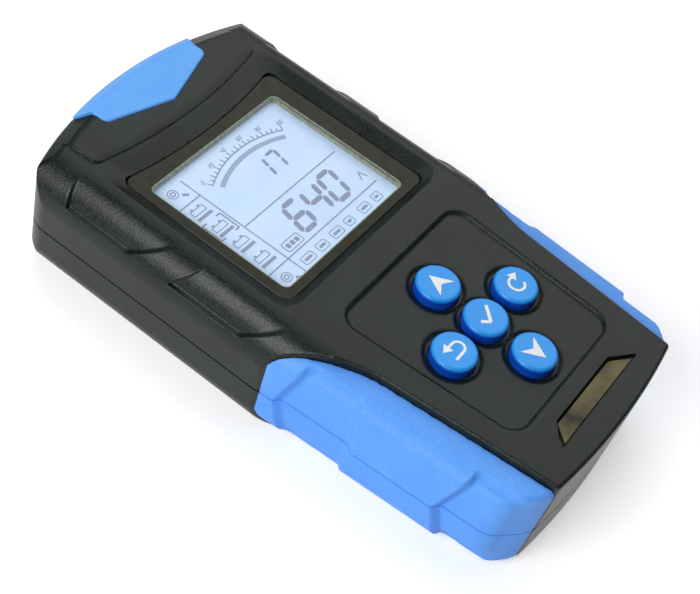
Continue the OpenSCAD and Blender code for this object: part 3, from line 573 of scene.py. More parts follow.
def grip(x, y, z, up):
    """Soft skin of the handle on one side of the seam."""
    seam = up * (JOINT_Z - z) + SEAM_GAP / 2
    skin = meet(handle(x, y, z), seam, SEAM_R)
    skin = meet(skin, GRIP_GAP - hard_plan(x, y), SEAM_R)
    return inside_all(skin, -handle(x, y, z) - GRIP_T, -x)


# Meshes; the pads and the probe count in cells of the grid

GRID_PAD = (1.5, 2.5)
PROBE = 0.125
SOFTNESS = 0.08
SHARP = 40
TURNS = 96
LAYER = 0.006
LAYERS = 4


def net(field, low, high, step):
    """Vertices and faces of the surface where field is zero, with its edges kept crisp."""
    before, after = (pad * step for pad in GRID_PAD)
    axes = [np.arange(a - before, b + after, step) for a, b in zip(low, high)]
    grid = np.meshgrid(*axes, indexing="ij", sparse=True)
    value = np.broadcast_to(field(*grid), [len(a) for a in axes])
    start = np.array([a[0] for a in axes])
    stride = np.array([value.shape[1] * value.shape[2], value.shape[2], 1])
    unit = np.eye(3, dtype=int)
    owners, points, normals, quads = [], [], [], []
    for axis in range(3):
        e, u, v = unit[axis], unit[(axis + 1) % 3], unit[(axis + 2) % 3]
        sign = value < 0
        lower = np.take(sign, range(sign.shape[axis] - 1), axis)
        upper = np.take(sign, range(1, sign.shape[axis]), axis)
        at = np.argwhere(lower != upper)
        a, b = value[tuple(at.T)], value[tuple((at + e).T)]
        point = start + step * (at + (a / (a - b))[:, None] * e)
        normal = slope_of(field, point, PROBE * step)
        ring = np.stack([(at - s) @ stride for s in (u + v, v, 0 * u, u)], 1)
        ring[a > 0] = ring[a > 0][:, ::-1]
        quads.append(ring)
        owners.append(ring.ravel())
        points.append(np.repeat(point, 4, 0))
        normals.append(np.repeat(normal, 4, 0))
    cells, owner = np.unique(np.concatenate(owners), return_inverse=True)
    vertices = corner_points(owner, np.concatenate(points), np.concatenate(normals), len(cells))
    cell_low = start + step * np.stack(np.unravel_index(cells, value.shape), 1)
    vertices = np.clip(vertices, cell_low, cell_low + step)
    return vertices, owner.reshape(-1, 4)


def slope_of(field, points, d):
    """Unit direction in which field grows fastest at each point."""
    out = np.stack([
        field(*(points + d * e).T) - field(*(points - d * e).T) for e in np.eye(3)
    ], 1)
    return out / np.maximum(np.linalg.norm(out, axis=1, keepdims=True), 1e-9)


def corner_points(owner, points, normals, count):
    """For each cell, the point that lies best on the planes through its crossings."""
    def total(weights):
        return np.bincount(owner, weights, count)
    number = np.bincount(owner, minlength=count)[:, None]
    mean = np.stack([total(points[:, i]) for i in range(3)], 1) / number
    away = np.einsum("ij,ij->i", normals, points - mean[owner])
    pull = np.stack([total(normals[:, i] * away) for i in range(3)], 1)
    planes = np.stack([
        np.stack([total(normals[:, i] * normals[:, j]) for j in range(3)], 1) for i in range(3)
    ], 1)
    softness = SOFTNESS * number[:, :, None] * np.eye(3)
    return mean + np.linalg.solve(planes + softness, pull[:, :, None])[:, :, 0]


def piece(name, vertices, faces, material, slot, body="case", replaces=(), sharp=SHARP):
    """A mesh object that rides on a CAD body."""
    mesh = bpy.data.meshes.new(name)
    points = (np.asarray(vertices, float) * MM).tolist()
    mesh.from_pydata(points, [], [list(map(int, face)) for face in faces])
    mesh.materials.append(material)
    obj = bpy.data.objects.new(name, mesh)
    bpy.context.scene.collection.objects.link(obj)
    mesh.shade_smooth()
    mesh.set_sharp_from_angle(angle=math.radians(sharp))
    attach(obj, body)
    if replaces:
        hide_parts(*replaces)
    return obj


def moulded(name, field, low, high, material, slot, keep, step=0.5, mirrored=False):
    """A moulded piece from its field, in place of its CAD node, that keeps a share of its faces."""
    step = step
    vertices, faces = net(field, low, high, step)
    if mirrored:
        vertices, faces = vertices * (-1, 1, 1), faces[:, ::-1]
    vertices = np.clip(vertices, *np.array(cad_box) / MM)
    obj = piece(name, vertices, faces, material, slot, replaces=[name])
    thin = obj.modifiers.new("thin", "DECIMATE")
    thin.ratio = keep
    thinned = obj.evaluated_get(bpy.context.evaluated_depsgraph_get())
    mesh = bpy.data.meshes.new_from_object(thinned)
    obj.modifiers.clear()
    obj.data = mesh
    mesh.shade_smooth()
    mesh.set_sharp_from_angle(angle=math.radians(SHARP))
    weigh = obj.modifiers.new("weigh", "WEIGHTED_NORMAL")
    weigh.keep_sharp = True
    return obj


def lathe(profile, centre, turns=TURNS):
    """Vertices and faces of a profile of (radius, height) points turned round an upright axis."""
    vertices, faces, rings = [], [], []
    for r, z in profile:
        if r < 1e-6:
            rings.append([len(vertices)] * turns)
            vertices.append((centre[0], centre[1], z))
        else:
            rings.append(list(range(len(vertices), len(vertices) + turns)))
            for i in range(turns):
                a = 2 * math.pi * i / turns
                vertices.append((centre[0] + r * math.cos(a), centre[1] + r * math.sin(a), z))
    for low, high in zip(rings, rings[1:]):
        for i in range(turns):
            j = (i + 1) % turns
            face = list(dict.fromkeys([low[i], low[j], high[j], high[i]]))
            if len(face) > 2:
                faces.append(face)
    return vertices, faces


def arc(centre, r, start, end, steps):
    """Points along an arc, angles in degrees."""
    angles = np.radians(np.linspace(start, end, steps + 1))
    return [(centre[0] + r * math.cos(a), centre[1] + r * math.sin(a)) for a in angles]


def rounded_box(x0, x1, y0, y1, r, steps=8):
    """Outline of a rectangle with round corners, anticlockwise."""
    left, right, low, high = x0 + r, x1 - r, y0 + r, y1 - r
    corners = ((left, low, 180), (right, low, 270), (right, high, 0), (left, high, 90))
    return [p for x, y, a in corners for p in arc((x, y), r, a, a + 90, steps)]


def band(a, b, n):
    """Faces between two loops of n vertices that start at a and at b."""
    return [[a + i, a + (i + 1) % n, b + (i + 1) % n, b + i] for i in range(n)]


def prisms(outlines, z0, z1):
    """Vertices and faces of upright prisms on convex outlines, given anticlockwise.

    Neighbours that overlap end at slightly different heights, so that no two tops share a plane.
    """
    vertices, faces = [], []
    for order, outline in enumerate(outlines):
        n, first = len(outline), len(vertices)
        top = z1 + order % LAYERS * LAYER
        vertices += [(x, y, z0) for x, y in outline] + [(x, y, top) for x, y in outline]
        faces.append([first + i for i in reversed(range(n))])
        faces.append([first + n + i for i in range(n)])
        faces += band(first, first + n, n)
    return vertices, faces


def hoop(loops):
    """Vertices and faces of a hoop through loops of (outline, height) with as many points each."""
    n = len(loops[0][0])
    vertices = [(x, y, z) for loop, z in loops for x, y in loop]
    faces = []
    for k in range(len(loops)):
        faces += band(k * n, (k + 1) % len(loops) * n, n)
    return vertices, faces


# Materials

CLOUD = 14
CLOUD_SHARE = 0.35
GRAIN_DETAIL = 3
CLOUD_DETAIL = 2
GLOSS_SPREAD = (0.3, 0.7)
BUMP_SHARE = 0.15
# Painted shade on the keys: the deep blue painted at their foot and sides, and the depths below the
# top over which it fades into the key's blue
KEY_PAINTED_SHADE = (6, 72, 190)
KEY_SHADE_FADE = (1.6, 0.2)


def srgb(*rgb):
    """Linear colour of an 8-bit screen colour."""
    shares = np.array(rgb) / 255
    linear = [c / 12.92 if c <= 0.04045 else ((c + 0.055) / 1.055) ** 2.4 for c in shares]
    return (*linear, 1)


def surface(name, dark, light, grain, rough, relief, spread=(0.5, 0.85), **sockets):
    """A moulded surface: two tones in a grain over slow clouds; the grain sets gloss and relief."""
    material = bpy.data.materials.new(name)
    material.use_nodes = True
    nodes, links = material.node_tree.nodes, material.node_tree.links
    shader = nodes["Principled BSDF"]
    place = nodes.new("ShaderNodeTexCoord").outputs["Object"]

    def noise(size, detail):
        node = nodes.new("ShaderNodeTexNoise")
        node.inputs["Scale"].default_value = 1 / (size * MM)
        node.inputs["Detail"].default_value = detail
        links.new(place, node.inputs["Vector"])
        return node.outputs["Fac"]

    fine, slow = noise(grain, GRAIN_DETAIL), noise(CLOUD, CLOUD_DETAIL)
    mixed = nodes.new("ShaderNodeMath")
    mixed.operation = "MULTIPLY_ADD"
    mixed.inputs[1].default_value = CLOUD_SHARE
    links.new(slow, mixed.inputs[0])
    links.new(fine, mixed.inputs[2])
    tone = nodes.new("ShaderNodeValToRGB")
    for stop, position, colour in zip(tone.color_ramp.elements, spread, (dark, light)):
        stop.position = position
        stop.color = srgb(*colour)
    links.new(mixed.outputs[0], tone.inputs["Fac"])
    links.new(tone.outputs["Color"], shader.inputs["Base Color"])
    gloss = nodes.new("ShaderNodeMapRange")
    for end, value in zip(("From Min", "From Max", "To Min", "To Max"), GLOSS_SPREAD + rough):
        gloss.inputs[end].default_value = value
    links.new(fine, gloss.inputs["Value"])
    links.new(gloss.outputs["Result"], shader.inputs["Roughness"])
    bump = nodes.new("ShaderNodeBump")
    bump.inputs["Strength"].default_value = relief
    bump.inputs["Distance"].default_value = BUMP_SHARE * grain * MM
    links.new(fine, bump.inputs["Height"])
    links.new(bump.outputs["Normal"], shader.inputs["Normal"])
    for socket, value in sockets.items():
        shader.inputs[socket.replace("_", " ")].default_value = value
    return material


def key_plastic(name):
    """Key plastic with painted shade: a deep blue painted at its foot and sides that turns light
    over the rounded edge, by height alone.
    """
    material = surface(
        name, (30, 148, 240), (48, 162, 248), grain=0.6, rough=(0.28, 0.38), relief=0.08,
        Specular_IOR_Level=0.45)
    nodes, links = material.node_tree.nodes, material.node_tree.links
    shader = nodes["Principled BSDF"]
    light = shader.inputs["Base Color"].links[0].from_socket
    # Painted shade: the colour darkens towards the key's foot by height, not by how light falls
    height = nodes.new("ShaderNodeSeparateXYZ")
    links.new(nodes["Texture Coordinate"].outputs["Object"], height.inputs[0])
    rise = nodes.new("ShaderNodeMapRange")
    rise.interpolation_type = "SMOOTHSTEP"
    for end, depth in zip(("From Min", "From Max"), KEY_SHADE_FADE):
        rise.inputs[end].default_value = (KEY_TOP - depth) * MM
    links.new(height.outputs["Z"], rise.inputs["Value"])
    blend = nodes.new("ShaderNodeMix")
    blend.data_type = "RGBA"
    links.new(rise.outputs["Result"], blend.inputs["Factor"])
    blend.inputs["A"].default_value = srgb(*KEY_PAINTED_SHADE)
    links.new(light, blend.inputs["B"])
    links.new(blend.outputs["Result"], shader.inputs["Base Color"])
    return material


BLACK = surface(
    "black_plastic", (6, 12, 10), (26, 38, 34), grain=0.65, rough=(0.28, 0.44), relief=0.9,
    spread=(0.54, 0.84), Specular_IOR_Level=0.33)
BLUE = surface(
    "blue_grip", (90, 158, 255), (104, 172, 255), grain=0.6, rough=(0.42, 0.54), relief=0.2,
    Specular_IOR_Level=0.25)
CAP_BLUE = surface(
    "blue_cap", (94, 168, 255), (106, 180, 255), grain=0.5, rough=(0.42, 0.52), relief=0.12,
    Specular_IOR_Level=0.3)
KEY_BLUE = key_plastic("key_plastic")
MARK_WHITE = surface(
    "white_print", (232, 236, 240), (250, 250, 250), grain=0.4, rough=(0.45, 0.6), relief=0.1)
BORDER = surface(
    "window_print", (30, 31, 18), (42, 43, 27), grain=3, rough=(0.1, 0.16), relief=0.02,
    Specular_IOR_Level=0.2)
RIM = surface(
    "window_rim", (120, 128, 104), (150, 156, 132), grain=1.2, rough=(0.2, 0.35), relief=0.05)
PANE = surface(
    "window_pane", (235, 242, 236), (245, 250, 246), grain=6, rough=(0.03, 0.07), relief=0.02,
    Alpha=0.06)
SMOKY = surface(
    "smoky_chrome", (34, 31, 18), (108, 100, 64), grain=16, rough=(0.12, 0.2), relief=0.03,
    Metallic=0.6)
LCD = surface(
    "lcd_face", (196, 224, 252), (206, 232, 255), grain=20, rough=(0.25, 0.35), relief=0.02,
    Emission_Color=srgb(140, 170, 255), Emission_Strength=0.12)
LCD_MARK = surface(
    "lcd_segment", (120, 134, 172), (132, 146, 184), grain=0.5, rough=(0.4, 0.5), relief=0.05)
RUBBER = surface(
    "soft_rubber", (16, 17, 17), (30, 31, 31), grain=0.35, rough=(0.65, 0.8), relief=0.3)
STEEL = surface(
    "zinc_steel", (150, 152, 154), (192, 194, 196), grain=0.4, rough=(0.25, 0.42), relief=0.15,
    Metallic=1)
MAT_BLUE = surface(
    "silicone_mat", (24, 84, 190), (34, 98, 204), grain=0.5, rough=(0.5, 0.65), relief=0.1)


# The case

MARGIN = 1.5
FRONT_BOX = ((-HEAD_HW - MARGIN, BOT_Y, JOINT_Z), (HEAD_HW + MARGIN, TOP_Y, PLATFORM_Z))
REAR_BOX = ((-HEAD_HW, BOT_Y, 0), (HEAD_HW, TOP_Y, JOINT_Z))
GRIP_BOX = ((0, BOT_Y, 0), (HEAD_HW, NECK_Y + MARGIN, GRIP_HIGH))
CAP_BOX = ((-CAP_WIDE[0], CAP_TIP_Y, CAP_LOW_Z), (CAP_WIDE[0], TOP_Y, CAP_Z))

moulded("front_shell", front_shell, *FRONT_BOX, BLACK, "case", keep=0.2, step=0.4)
moulded("rear_shell", rear_shell, *REAR_BOX, BLACK, "case", keep=0.12)
for side, mirrored in (("left", True), ("right", False)):
    for level, up in (("front", 1), ("rear", -1)):
        moulded(f"{side}_{level}_grip", lambda x, y, z: grip(x, y, z, up), *GRIP_BOX,
                BLUE, "grip", keep=0.35, mirrored=mirrored)
moulded("end_cap", cap_solid, *CAP_BOX, CAP_BLUE, "cap", keep=0.4, step=0.35)


# Nameplate

PLATE_EDGE = 0.25


def nameplate():
    def outline(inset):
        return [(-PLATE_LOW_HW + inset, inset), (PLATE_LOW_HW - inset, inset),
                (PLATE_HIGH_HW - inset, PLATE_W - inset), (-PLATE_HIGH_HW + inset, PLATE_W - inset)]

    loops = [(outline(0), -PLATE_T), (outline(0), -PLATE_EDGE), (outline(PLATE_EDGE), 0)]
    vertices = []
    for loop, w in loops:
        for x, v in loop:
            vertices.append((
                x, PLATE_Y + v * math.cos(PLATE_TILT) + w * math.sin(PLATE_TILT),
                FACE_Z - v * math.sin(PLATE_TILT) + w * math.cos(PLATE_TILT)))
    faces = [[3, 2, 1, 0], [8, 9, 10, 11]]
    for a in (0, 4):
        faces += band(a, a + 4, 4)
    piece("nameplate", vertices, faces, SMOKY, "plate", replaces=["nameplate"], sharp=10)


nameplate()


# Display

VIEW_X = (-31.5, 28.6)
VIEW_Y = (3.6, 55.3)
VIEW_R = 2.4
RIM_T = 0.4
WINDOW_EDGE = 0.2
PANE_SINK = 0.05


def window_outline(inset, steps=8):
    """Outline of the window with its bowed upper edge, as many points as rounded_box gives."""
    hw, low, r = WINDOW_HW - inset, WINDOW_LOW_Y + inset, WINDOW_CORNER_R - inset
    bow = BOW_R + inset
    half = math.degrees(math.asin((hw - r) / (bow + r)))
    high = BOW_Y - math.sqrt((bow + r) ** 2 - (hw - r) ** 2)
    corners = arc((-hw + r, low + r), r, 180, 270, steps)
    corners += arc((hw - r, low + r), r, 270, 360, steps)
    right = arc((hw - r, high), r, 0, 90 + half, steps // 2)
    left = arc((-hw + r, high), r, 90 - half, 180, steps // 2)
    top = arc((0, BOW_Y), bow, 270 + half, 270 - half, steps + 1)[1:-1]
    return corners + right + top + left


def display():
    """Printed border, rim and clear pane of the window."""
    inner = rounded_box(*VIEW_X, *VIEW_Y, VIEW_R)
    edge_z = WINDOW_TOP - WINDOW_EDGE
    border = hoop([
        (window_outline(0), WINDOW_LOW_Z), (window_outline(0), edge_z),
        (window_outline(WINDOW_EDGE), WINDOW_TOP), (inner, WINDOW_TOP), (inner, WINDOW_LOW_Z)])
    piece("window_border", *border, BORDER, "window", replaces=["display_window"], sharp=30)
    x0, x1, y0, y1 = *VIEW_X, *VIEW_Y
    wall = rounded_box(x0 + RIM_T, x1 - RIM_T, y0 + RIM_T, y1 - RIM_T, VIEW_R - RIM_T)
    rim = hoop([(inner, LCD_TOP), (inner, edge_z), (wall, edge_z), (wall, LCD_TOP)])
    piece("window_rim", *rim, RIM, "window")
    piece("window_pane", *prisms([wall], WINDOW_LOW_Z, WINDOW_TOP - PANE_SINK), PANE, "window")


display()


# Marks on the display: thin strokes on the glass

def stroke(p, q, w):
    """A straight stroke from p to q."""
    p, q = np.array(p, float), np.array(q, float)
    d = (q - p) / np.linalg.norm(q - p) * w / 2
    s = np.array((d[1], -d[0]))
    return [tuple(c) for c in (p + s, q + s, q - s, p - s)]


def path(points, w, closed=False):
    """Strokes along a line of points."""
    ends = points[1:] + points[:1] if closed else points[1:]
    return [stroke(p, q, w) for p, q in zip(points, ends)]


SEGMENTS = {
    "a": ((0, 1), (1, 1)), "b": ((1, 1), (1, 0.5)), "c": ((1, 0.5), (1, 0)), "d": ((1, 0), (0, 0)),
    "e": ((0, 0), (0, 0.5)), "f": ((0, 0.5), (0, 1)), "g": ((0, 0.5), (1, 0.5)),
}
DIGITS = {
    "0": "abcdef", "1": "bc", "2": "abged", "3": "abgcd", "4": "fgbc", "5": "afgcd", "6": "afgedc",
    "7": "abc", "8": "abcdefg", "9": "abcdfg",
}
SEGMENT_GAP = 0.15
SEGMENT_POINT = 0.5
MARK_LIFT = 0.03
MARK_T = 0.05


def digits(text, x, y, w, h, pitch, weight, lean=0.2):
    """Seven-segment digits, each segment a pointed bar."""
    out = []
    for i, character in enumerate(text):
        for name in DIGITS[character]:
            p, q = [np.array((x + i * pitch + px * w, y + py * h)) for px, py in SEGMENTS[name]]
            along = (q - p) / np.linalg.norm(q - p)
            across = np.array((along[1], -along[0])) * weight / 2
            gap, point = along * weight * SEGMENT_GAP, along * weight * SEGMENT_POINT
            hexagon = [p + gap, p + gap + point + across, q - gap - point + across,
                       q - gap, q - gap - point - across, p + gap + point - across]
            out.append([(px + lean * (py - y), py) for px, py in hexagon])
    return out


def gauge():
    """Scale with ticks, numbers and a band of fine strokes."""
    centre, r, half = (3.3, 10.8), 38, 27
    ticks, long, short, number_gap = 20, 1.9, 1.2, 3.1
    bars, inset, bar_from, bar_to = 60, 1, -3.6, -2

    def ray(i, count, spread):
        a = math.radians(90 + spread - i * 2 * spread / count)
        return np.array((math.cos(a), math.sin(a)))

    def radial(d, near, far, w):
        return stroke(d * (r + near) + centre, d * (r + far) + centre, w)

    out = path(arc(centre, r, 90 + half, 90 - half, 2 * ticks), 0.4)
    for i in range(ticks + 1):
        d = ray(i, ticks, half)
        out.append(radial(d, 0, short if i % 2 else long, 0.35))
        if i % 4 == 0:
            number = str(100 * i // ticks)
            x, y = d * (r + number_gap) + centre
            x, y = x - 0.5 * len(number), y - 0.7
            out += digits(number, x, y, w=0.7, h=1.4, pitch=1.1, weight=0.2)
    for i in range(bars + 1):
        out.append(radial(ray(i, bars, half - inset), bar_from, bar_to, 0.28))
    return out


def battery_icon(x, y):
    """A small battery: a case with two posts, over a bar."""
    hw, h = 2.6, 2
    out = path([(x - hw, y), (x + hw, y), (x + hw, y + h), (x - hw, y + h)], 0.28, closed=True)
    for post in (-1.5, 1.5):
        out.append(stroke((x + post - 0.5, y + 2.5), (x + post + 0.5, y + 2.5), 0.5))
    out.append(stroke((x - 3, y - 1.6), (x + 3, y - 1.6), 1.1))
    return out


def knob_icon(x, y):
    """A round knob with a pointer."""
    out = path(arc((x, y), 1.7, 0, 330, 11), 0.3, closed=True)
    out += path(arc((x, y), 0.8, 0, 315, 7), 0.4, closed=True)
    out.append(stroke((x + 1.9, y - 1.9), (x + 3.6, y - 3.2), 0.9))
    return out


def display_marks():
    """Rules, gauge, digits, icons and a row of labels, all in one piece."""
    left, split, right = -29.4, -19.8, 25.6
    high, upper, mid, lower, low = 52.5, 44.8, 27.9, 11.5, 4.4
    rules = (
        ((split, high), (split, low)), ((split, mid), (right, mid)),
        ((left, lower), (right, lower)), ((left, upper), (split, upper)))
    out = [stroke(p, q, 0.42) for p, q in rules]
    out += gauge()
    out += digits("17", 0.2, 34.2, w=4, h=7.4, pitch=5.8, weight=1.1)
    out += digits("640", -8, 14.2, w=6, h=10.6, pitch=8.8, weight=1.7)
    out += path(rounded_box(-17.6, -10.2, 12.6, 16.2, 0.7, 3), 0.3, closed=True)
    out += [stroke((-16.6 + 2 * i, 14.4), (-15.2 + 2 * i, 14.4), 1.6) for i in range(3)]
    battery_x, knob_x, label_x, label_pitch = -24.9, -25.6, -17.6, 7.2
    for y in (40.2, 32, 24, 16.2):
        out += battery_icon(battery_x, y)
    y0, y1 = 29, 36.4
    for tip, back in ((-27, -28.8), (-22.6, -20.9)):
        out += path([(tip, y0), (back, y0), (back, y1), (tip, y1)], 0.5)
    out += knob_icon(knob_x, 50.4) + knob_icon(knob_x, 7.6)
    for i, width in enumerate((5, 4.4, 4.8, 3.4, 4.6, 3.4)):
        x = label_x + label_pitch * i
        out += path(rounded_box(x, x + width, 6, 9, 0.6, 2), 0.25, closed=True)
        out.append(stroke((x + 0.9, 7.5), (x + width - 0.9, 7.5), 0.9))
    out.append(stroke((22.2, 14.6), (24, 17.6), 0.35))
    out.append(stroke((24, 17.6), (25, 14.6), 0.35))
    shape = prisms(out, LCD_TOP + MARK_LIFT, LCD_TOP + MARK_LIFT + MARK_T)
    piece("display_marks", *shape, LCD_MARK, "lcd", sharp=10)


display_marks()


# Keys

KEY_EDGE_R = 1.2
KEY_DISH = 0.12
KEY_RINGS = (5, 4, 2.5, 1.2)
PRINT_T = 0.06
FLANGE_LOW = cad("web_enter")[1][2]
FLANGE_TOP = FLANGE_LOW + 1.1
FLANGE_EDGE = 0.2
PLUNGER_R = 3.2
PLUNGER_LOW = cad("pill_enter")[1][2]


def key_profile():
    """From the plunger's middle, out over the flange, up the side and in over the top."""
    e, flat_r = FLANGE_EDGE, KEY_R - KEY_EDGE_R
    round_edge = arc((0, 0), KEY_EDGE_R, 0, 90, 8)
    crown = [(flat_r + r, KEY_TOP - KEY_EDGE_R + z) for r, z in round_edge]
    top = [(r, KEY_TOP - KEY_DISH * (1 - (r / flat_r) ** 2)) for r in KEY_RINGS]
    return [
        (0, PLUNGER_LOW), (PLUNGER_R - e, PLUNGER_LOW), (PLUNGER_R, PLUNGER_LOW + e),
        (PLUNGER_R, FLANGE_LOW), (FLANGE_R - e, FLANGE_LOW), (FLANGE_R, FLANGE_LOW + e),
        (FLANGE_R, FLANGE_TOP - e), (FLANGE_R - e, FLANGE_TOP), (KEY_R, FLANGE_TOP),
    ] + crown + top + [(0, KEY_TOP - KEY_DISH)]


def arrow_mark(up):
    """Notched arrowhead that points towards the display or away from it, in two halves."""
    tip, wing, low, notch = (0, 3.6 * up), 3.7, -3.1 * up, (0, -0.9 * up)
    return [[tip, notch, (wing, low)], [tip, (-wing, low), notch]]


def turn(points):
    """The same outline, anticlockwise."""
    area = sum(p[0] * q[1] - q[0] * p[1] for p, q in zip(points, points[1:] + points[:1]))
    return points if area > 0 else points[::-1]


MARKS = {
    "up": [turn(half) for half in arrow_mark(1)],
    "down": [turn(half) for half in arrow_mark(-1)],
    "enter": path([(-3, 0.2), (-0.9, -2), (3.2, 2.4)], 1),
    "back": path([(-0.6, 2), (1.4, 2)] + arc((1.4, 0), 2, 90, -90, 10) + [(-2.6, -2)], 0.8)
    + [turn([(-3.4, 2), (-0.6, 3.7), (-0.6, 0.3)])],
    "reset": path(arc((0, 0), 2.5, 60, 330, 18), 0.8) + [turn([(0.6, 4), (3.4, 2.6), (0.9, 0.8)])],
}


def keys():
    for name in KEYS:
        body = f"{name}_key"
        x, y = KEY_PLACE[name]
        key = lathe(key_profile(), (x, y))
        piece(f"key_{name}", *key, KEY_BLUE, "keys", body, [f"key_{name}"], sharp=50)
        outlines = [[(px + x, py + y) for px, py in outline] for outline in MARKS[name]]
        mark = prisms(outlines, KEY_TOP - KEY_DISH - PRINT_T, KEY_TOP - LAYERS * LAYER)
        piece(f"mark_{name}", *mark, MARK_WHITE, "keys", body, sharp=10)


keys()


# Rubber webs between the mat and the keys, built at rest; on the real keypad they fold as the keys
# go down

WEB_T = 0.8
WEB_FOOT_R = KEY_R + 1.25
WEB_HEAD_R = KEY_R + 0.25
WEB_STEPS = 6
WEB_BEND = 1.6


def web_profile():
    """Closed section of a web: a thin dome from the mat to the key's flange."""
    outer = []
    for i in range(WEB_STEPS + 1):
        share = i / WEB_STEPS
        outer.append((
            WEB_FOOT_R - (WEB_FOOT_R - WEB_HEAD_R) * share ** WEB_BEND,
            MAT_TOP + (FLANGE_LOW - MAT_TOP) * share))
    inner = [(r - WEB_T, z) for r, z in reversed(outer)]
    return outer + inner + outer[:1]


def webs():
    for name in KEYS:
        web = lathe(web_profile(), KEY_PLACE[name])
        obj = piece(f"web_{name}", *web, MAT_BLUE, "keypad", replaces=[f"web_{name}"])
        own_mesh(obj)


webs()


# Case screws with a cross recess

RECESS_HW = 0.4
RECESS_REACH = 1.7
RECESS_DEPTH = 1.2
HEAD_EDGE_R = 0.7
SCREW_STEP = 0.2


def screw(x, y, z):
    """A case screw that points up, with its head's underside at the seat."""
    r, low = np.hypot(x, y), CASE_SEAT_Z - CASE_HEAD_T
    head_part = np.maximum(meet(r - CASE_HEAD_R, low - z, HEAD_EDGE_R), z - CASE_SEAT_Z)
    shank = meet(r - CASE_SCREW_R, z - CASE_SCREW_TOP, HEAD_EDGE_R)
    shank = np.maximum(shank, CASE_SEAT_Z - CASE_HEAD_T / 2 - z)
    ax, ay = np.abs(x), np.abs(y)
    arm = np.maximum(np.minimum(ax, ay) - RECESS_HW, np.maximum(ax, ay) - RECESS_REACH)
    return np.maximum(np.minimum(head_part, shank), -np.maximum(arm, z - low - RECESS_DEPTH))


def case_screws():
    low = (-CASE_HEAD_R, -CASE_HEAD_R, CASE_SEAT_Z - CASE_HEAD_T)
    high = (CASE_HEAD_R, CASE_HEAD_R, CASE_SCREW_TOP)
    one, quads = net(screw, low, high, SCREW_STEP)
    vertices, faces = [], []
    for x, y in CASE_SCREWS:
        for side in (-1, 1):
            faces.append(quads + len(vertices) * len(one))
            vertices.append(one + (side * x, y, 0))
    piece("case_screws", np.concatenate(vertices), np.concatenate(faces), STEEL, "screws",
          replaces=["case_screws"])


case_screws()


# Looks of what stays as the CAD made it

CHIP = surface(
    "package_epoxy", (24, 24, 26), (40, 40, 43), grain=0.3, rough=(0.5, 0.68), relief=0.25)
CARRIED = {
    "window_tape": RUBBER,
    "lcd_glass": LCD,
    "lcd_holder": surface(
        "white_holder", (214, 214, 208), (232, 232, 226), grain=0.5, rough=(0.45, 0.6),
        relief=0.15),
    "backlight_panel": surface(
        "light_guide", (216, 228, 250), (232, 240, 255), grain=2, rough=(0.15, 0.25), relief=0.03),
    "zebra_strip": surface(
        "layered_rubber", (180, 130, 146), (206, 158, 172), grain=0.3, rough=(0.5, 0.7),
        relief=0.2),
    "main_board": surface(
        "solder_mask", (10, 70, 36), (20, 92, 50), grain=1.5, rough=(0.25, 0.4), relief=0.1),
    "contact_pads": surface(
        "gold_plate", (196, 156, 70), (222, 186, 102), grain=0.3, rough=(0.2, 0.35), relief=0.1,
        Metallic=1),
    "keypad_mat": MAT_BLUE,
    "microcontroller": CHIP,
    "signal_chips": CHIP,
    "load_transistors": CHIP,
    "load_resistors": surface(
        "cement", (196, 190, 170), (222, 217, 200), grain=0.4, rough=(0.75, 0.9), relief=0.5),
    "capacitors": surface(
        "sleeve", (20, 30, 82), (30, 42, 104), grain=1, rough=(0.25, 0.35), relief=0.05),
    "buzzer": CHIP,
    "crystal": STEEL,
    "lead_terminals": surface(
        "terminal_green", (30, 110, 60), (42, 130, 76), grain=0.5, rough=(0.4, 0.55), relief=0.15),
    "board_screws": STEEL,
    "lead_bush": RUBBER,
}
CARRIED.update({f"pill_{name}": RUBBER for name in KEYS})

for node, material in CARRIED.items():
    data = frame["nodes"][node].data
    data.materials.clear()
    data.materials.append(material)


# Floor, light and camera

FLOOR_HALF = 3
FLOOR_SINK = 0.0003
FLOOR_TONE = 0.9
FLOOR_GLOW = 0.4
SKY = 0.1
LENS = 72.78
SENSOR = 36
CAMERA_PLACE = (-264.87, -103.39, 342.75)
CAMERA_RIGHT = (0.5723, -0.7905, 0.2184)
CAMERA_UP = (0.5500, 0.5675, 0.6128)
CAMERA_BACK = (-0.6083, -0.2306, 0.7595)


def seen_rays(nodes, links):
    """1 for what the camera, a reflection or a clear piece shows, 0 for light on surfaces."""
    path_node = nodes.new("ShaderNodeLightPath")
    total = path_node.outputs["Is Camera Ray"]
    for name in ("Is Glossy Ray", "Is Transmission Ray"):
        most = nodes.new("ShaderNodeMath")
        most.operation = "MAXIMUM"
        links.new(total, most.inputs[0])
        links.new(path_node.outputs[name], most.inputs[1])
        total = most.outputs[0]
    return total


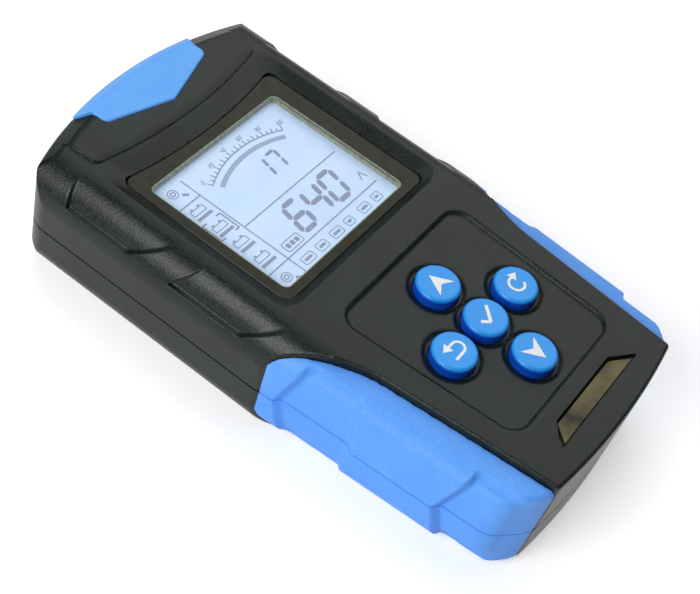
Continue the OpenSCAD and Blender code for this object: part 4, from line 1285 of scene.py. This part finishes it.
def floor():
    """Pale floor that renders white to the camera where nothing shades it."""
    h = FLOOR_HALF
    mesh = bpy.data.meshes.new("floor")
    mesh.from_pydata([(-h, -h, 0), (h, -h, 0), (h, h, 0), (-h, h, 0)], [], [[0, 1, 2, 3]])
    obj = bpy.data.objects.new("floor", mesh)
    bpy.context.scene.collection.objects.link(obj)
    obj.location.z = -FLOOR_SINK
    material = bpy.data.materials.new("floor_white")
    material.use_nodes = True
    nodes, links = material.node_tree.nodes, material.node_tree.links
    nodes.remove(nodes["Principled BSDF"])
    matt = nodes.new("ShaderNodeBsdfDiffuse")
    matt.inputs["Color"].default_value = (FLOOR_TONE, FLOOR_TONE, FLOOR_TONE, 1)
    glow = nodes.new("ShaderNodeEmission")
    share = nodes.new("ShaderNodeMath")
    share.operation = "MULTIPLY"
    share.inputs[1].default_value = FLOOR_GLOW
    links.new(seen_rays(nodes, links), share.inputs[0])
    links.new(share.outputs[0], glow.inputs["Strength"])
    both = nodes.new("ShaderNodeAddShader")
    links.new(matt.outputs[0], both.inputs[0])
    links.new(glow.outputs[0], both.inputs[1])
    links.new(both.outputs[0], nodes["Material Output"].inputs["Surface"])
    mesh.materials.append(material)


def world():
    scene = bpy.context.scene
    scene.world = bpy.data.worlds.new("studio")
    scene.world.use_nodes = True
    sky = scene.world.node_tree.nodes["Background"]
    sky.inputs["Color"].default_value = (1, 1, 1, 1)
    sky.inputs["Strength"].default_value = SKY


def lamp(name, direction, distance, size, power):
    """Soft box of a level and an upright size that looks at the middle of the part."""
    light = bpy.data.lights.new(name, "AREA")
    light.shape = "RECTANGLE"
    light.size, light.size_y = size
    light.energy = power
    obj = bpy.data.objects.new(name, light)
    bpy.context.scene.collection.objects.link(obj)
    back = np.array(direction) / np.linalg.norm(direction)
    obj.location = back * distance
    obj.rotation_euler = obj.location.to_track_quat("Z", "Y").to_euler()


def camera():
    data = bpy.data.cameras.new("camera")
    data.lens = LENS
    data.sensor_width = SENSOR
    obj = bpy.data.objects.new("camera", data)
    bpy.context.scene.collection.objects.link(obj)
    turned = Matrix((CAMERA_RIGHT, CAMERA_UP, CAMERA_BACK)).transposed().to_4x4()
    obj.matrix_world = Matrix.Translation(np.array(CAMERA_PLACE) * MM) @ turned
    bpy.context.scene.camera = obj


floor()
world()
lamp("left_box", direction=(-0.77, 0.18, 0.61), distance=0.9, size=(0.5, 0.5), power=6)
lamp("right_box", direction=(0.55, 0.2, 0.81), distance=1.1, size=(1.4, 1.4), power=8.6)
camera()
bpy.context.scene.view_settings.view_transform = "Standard"
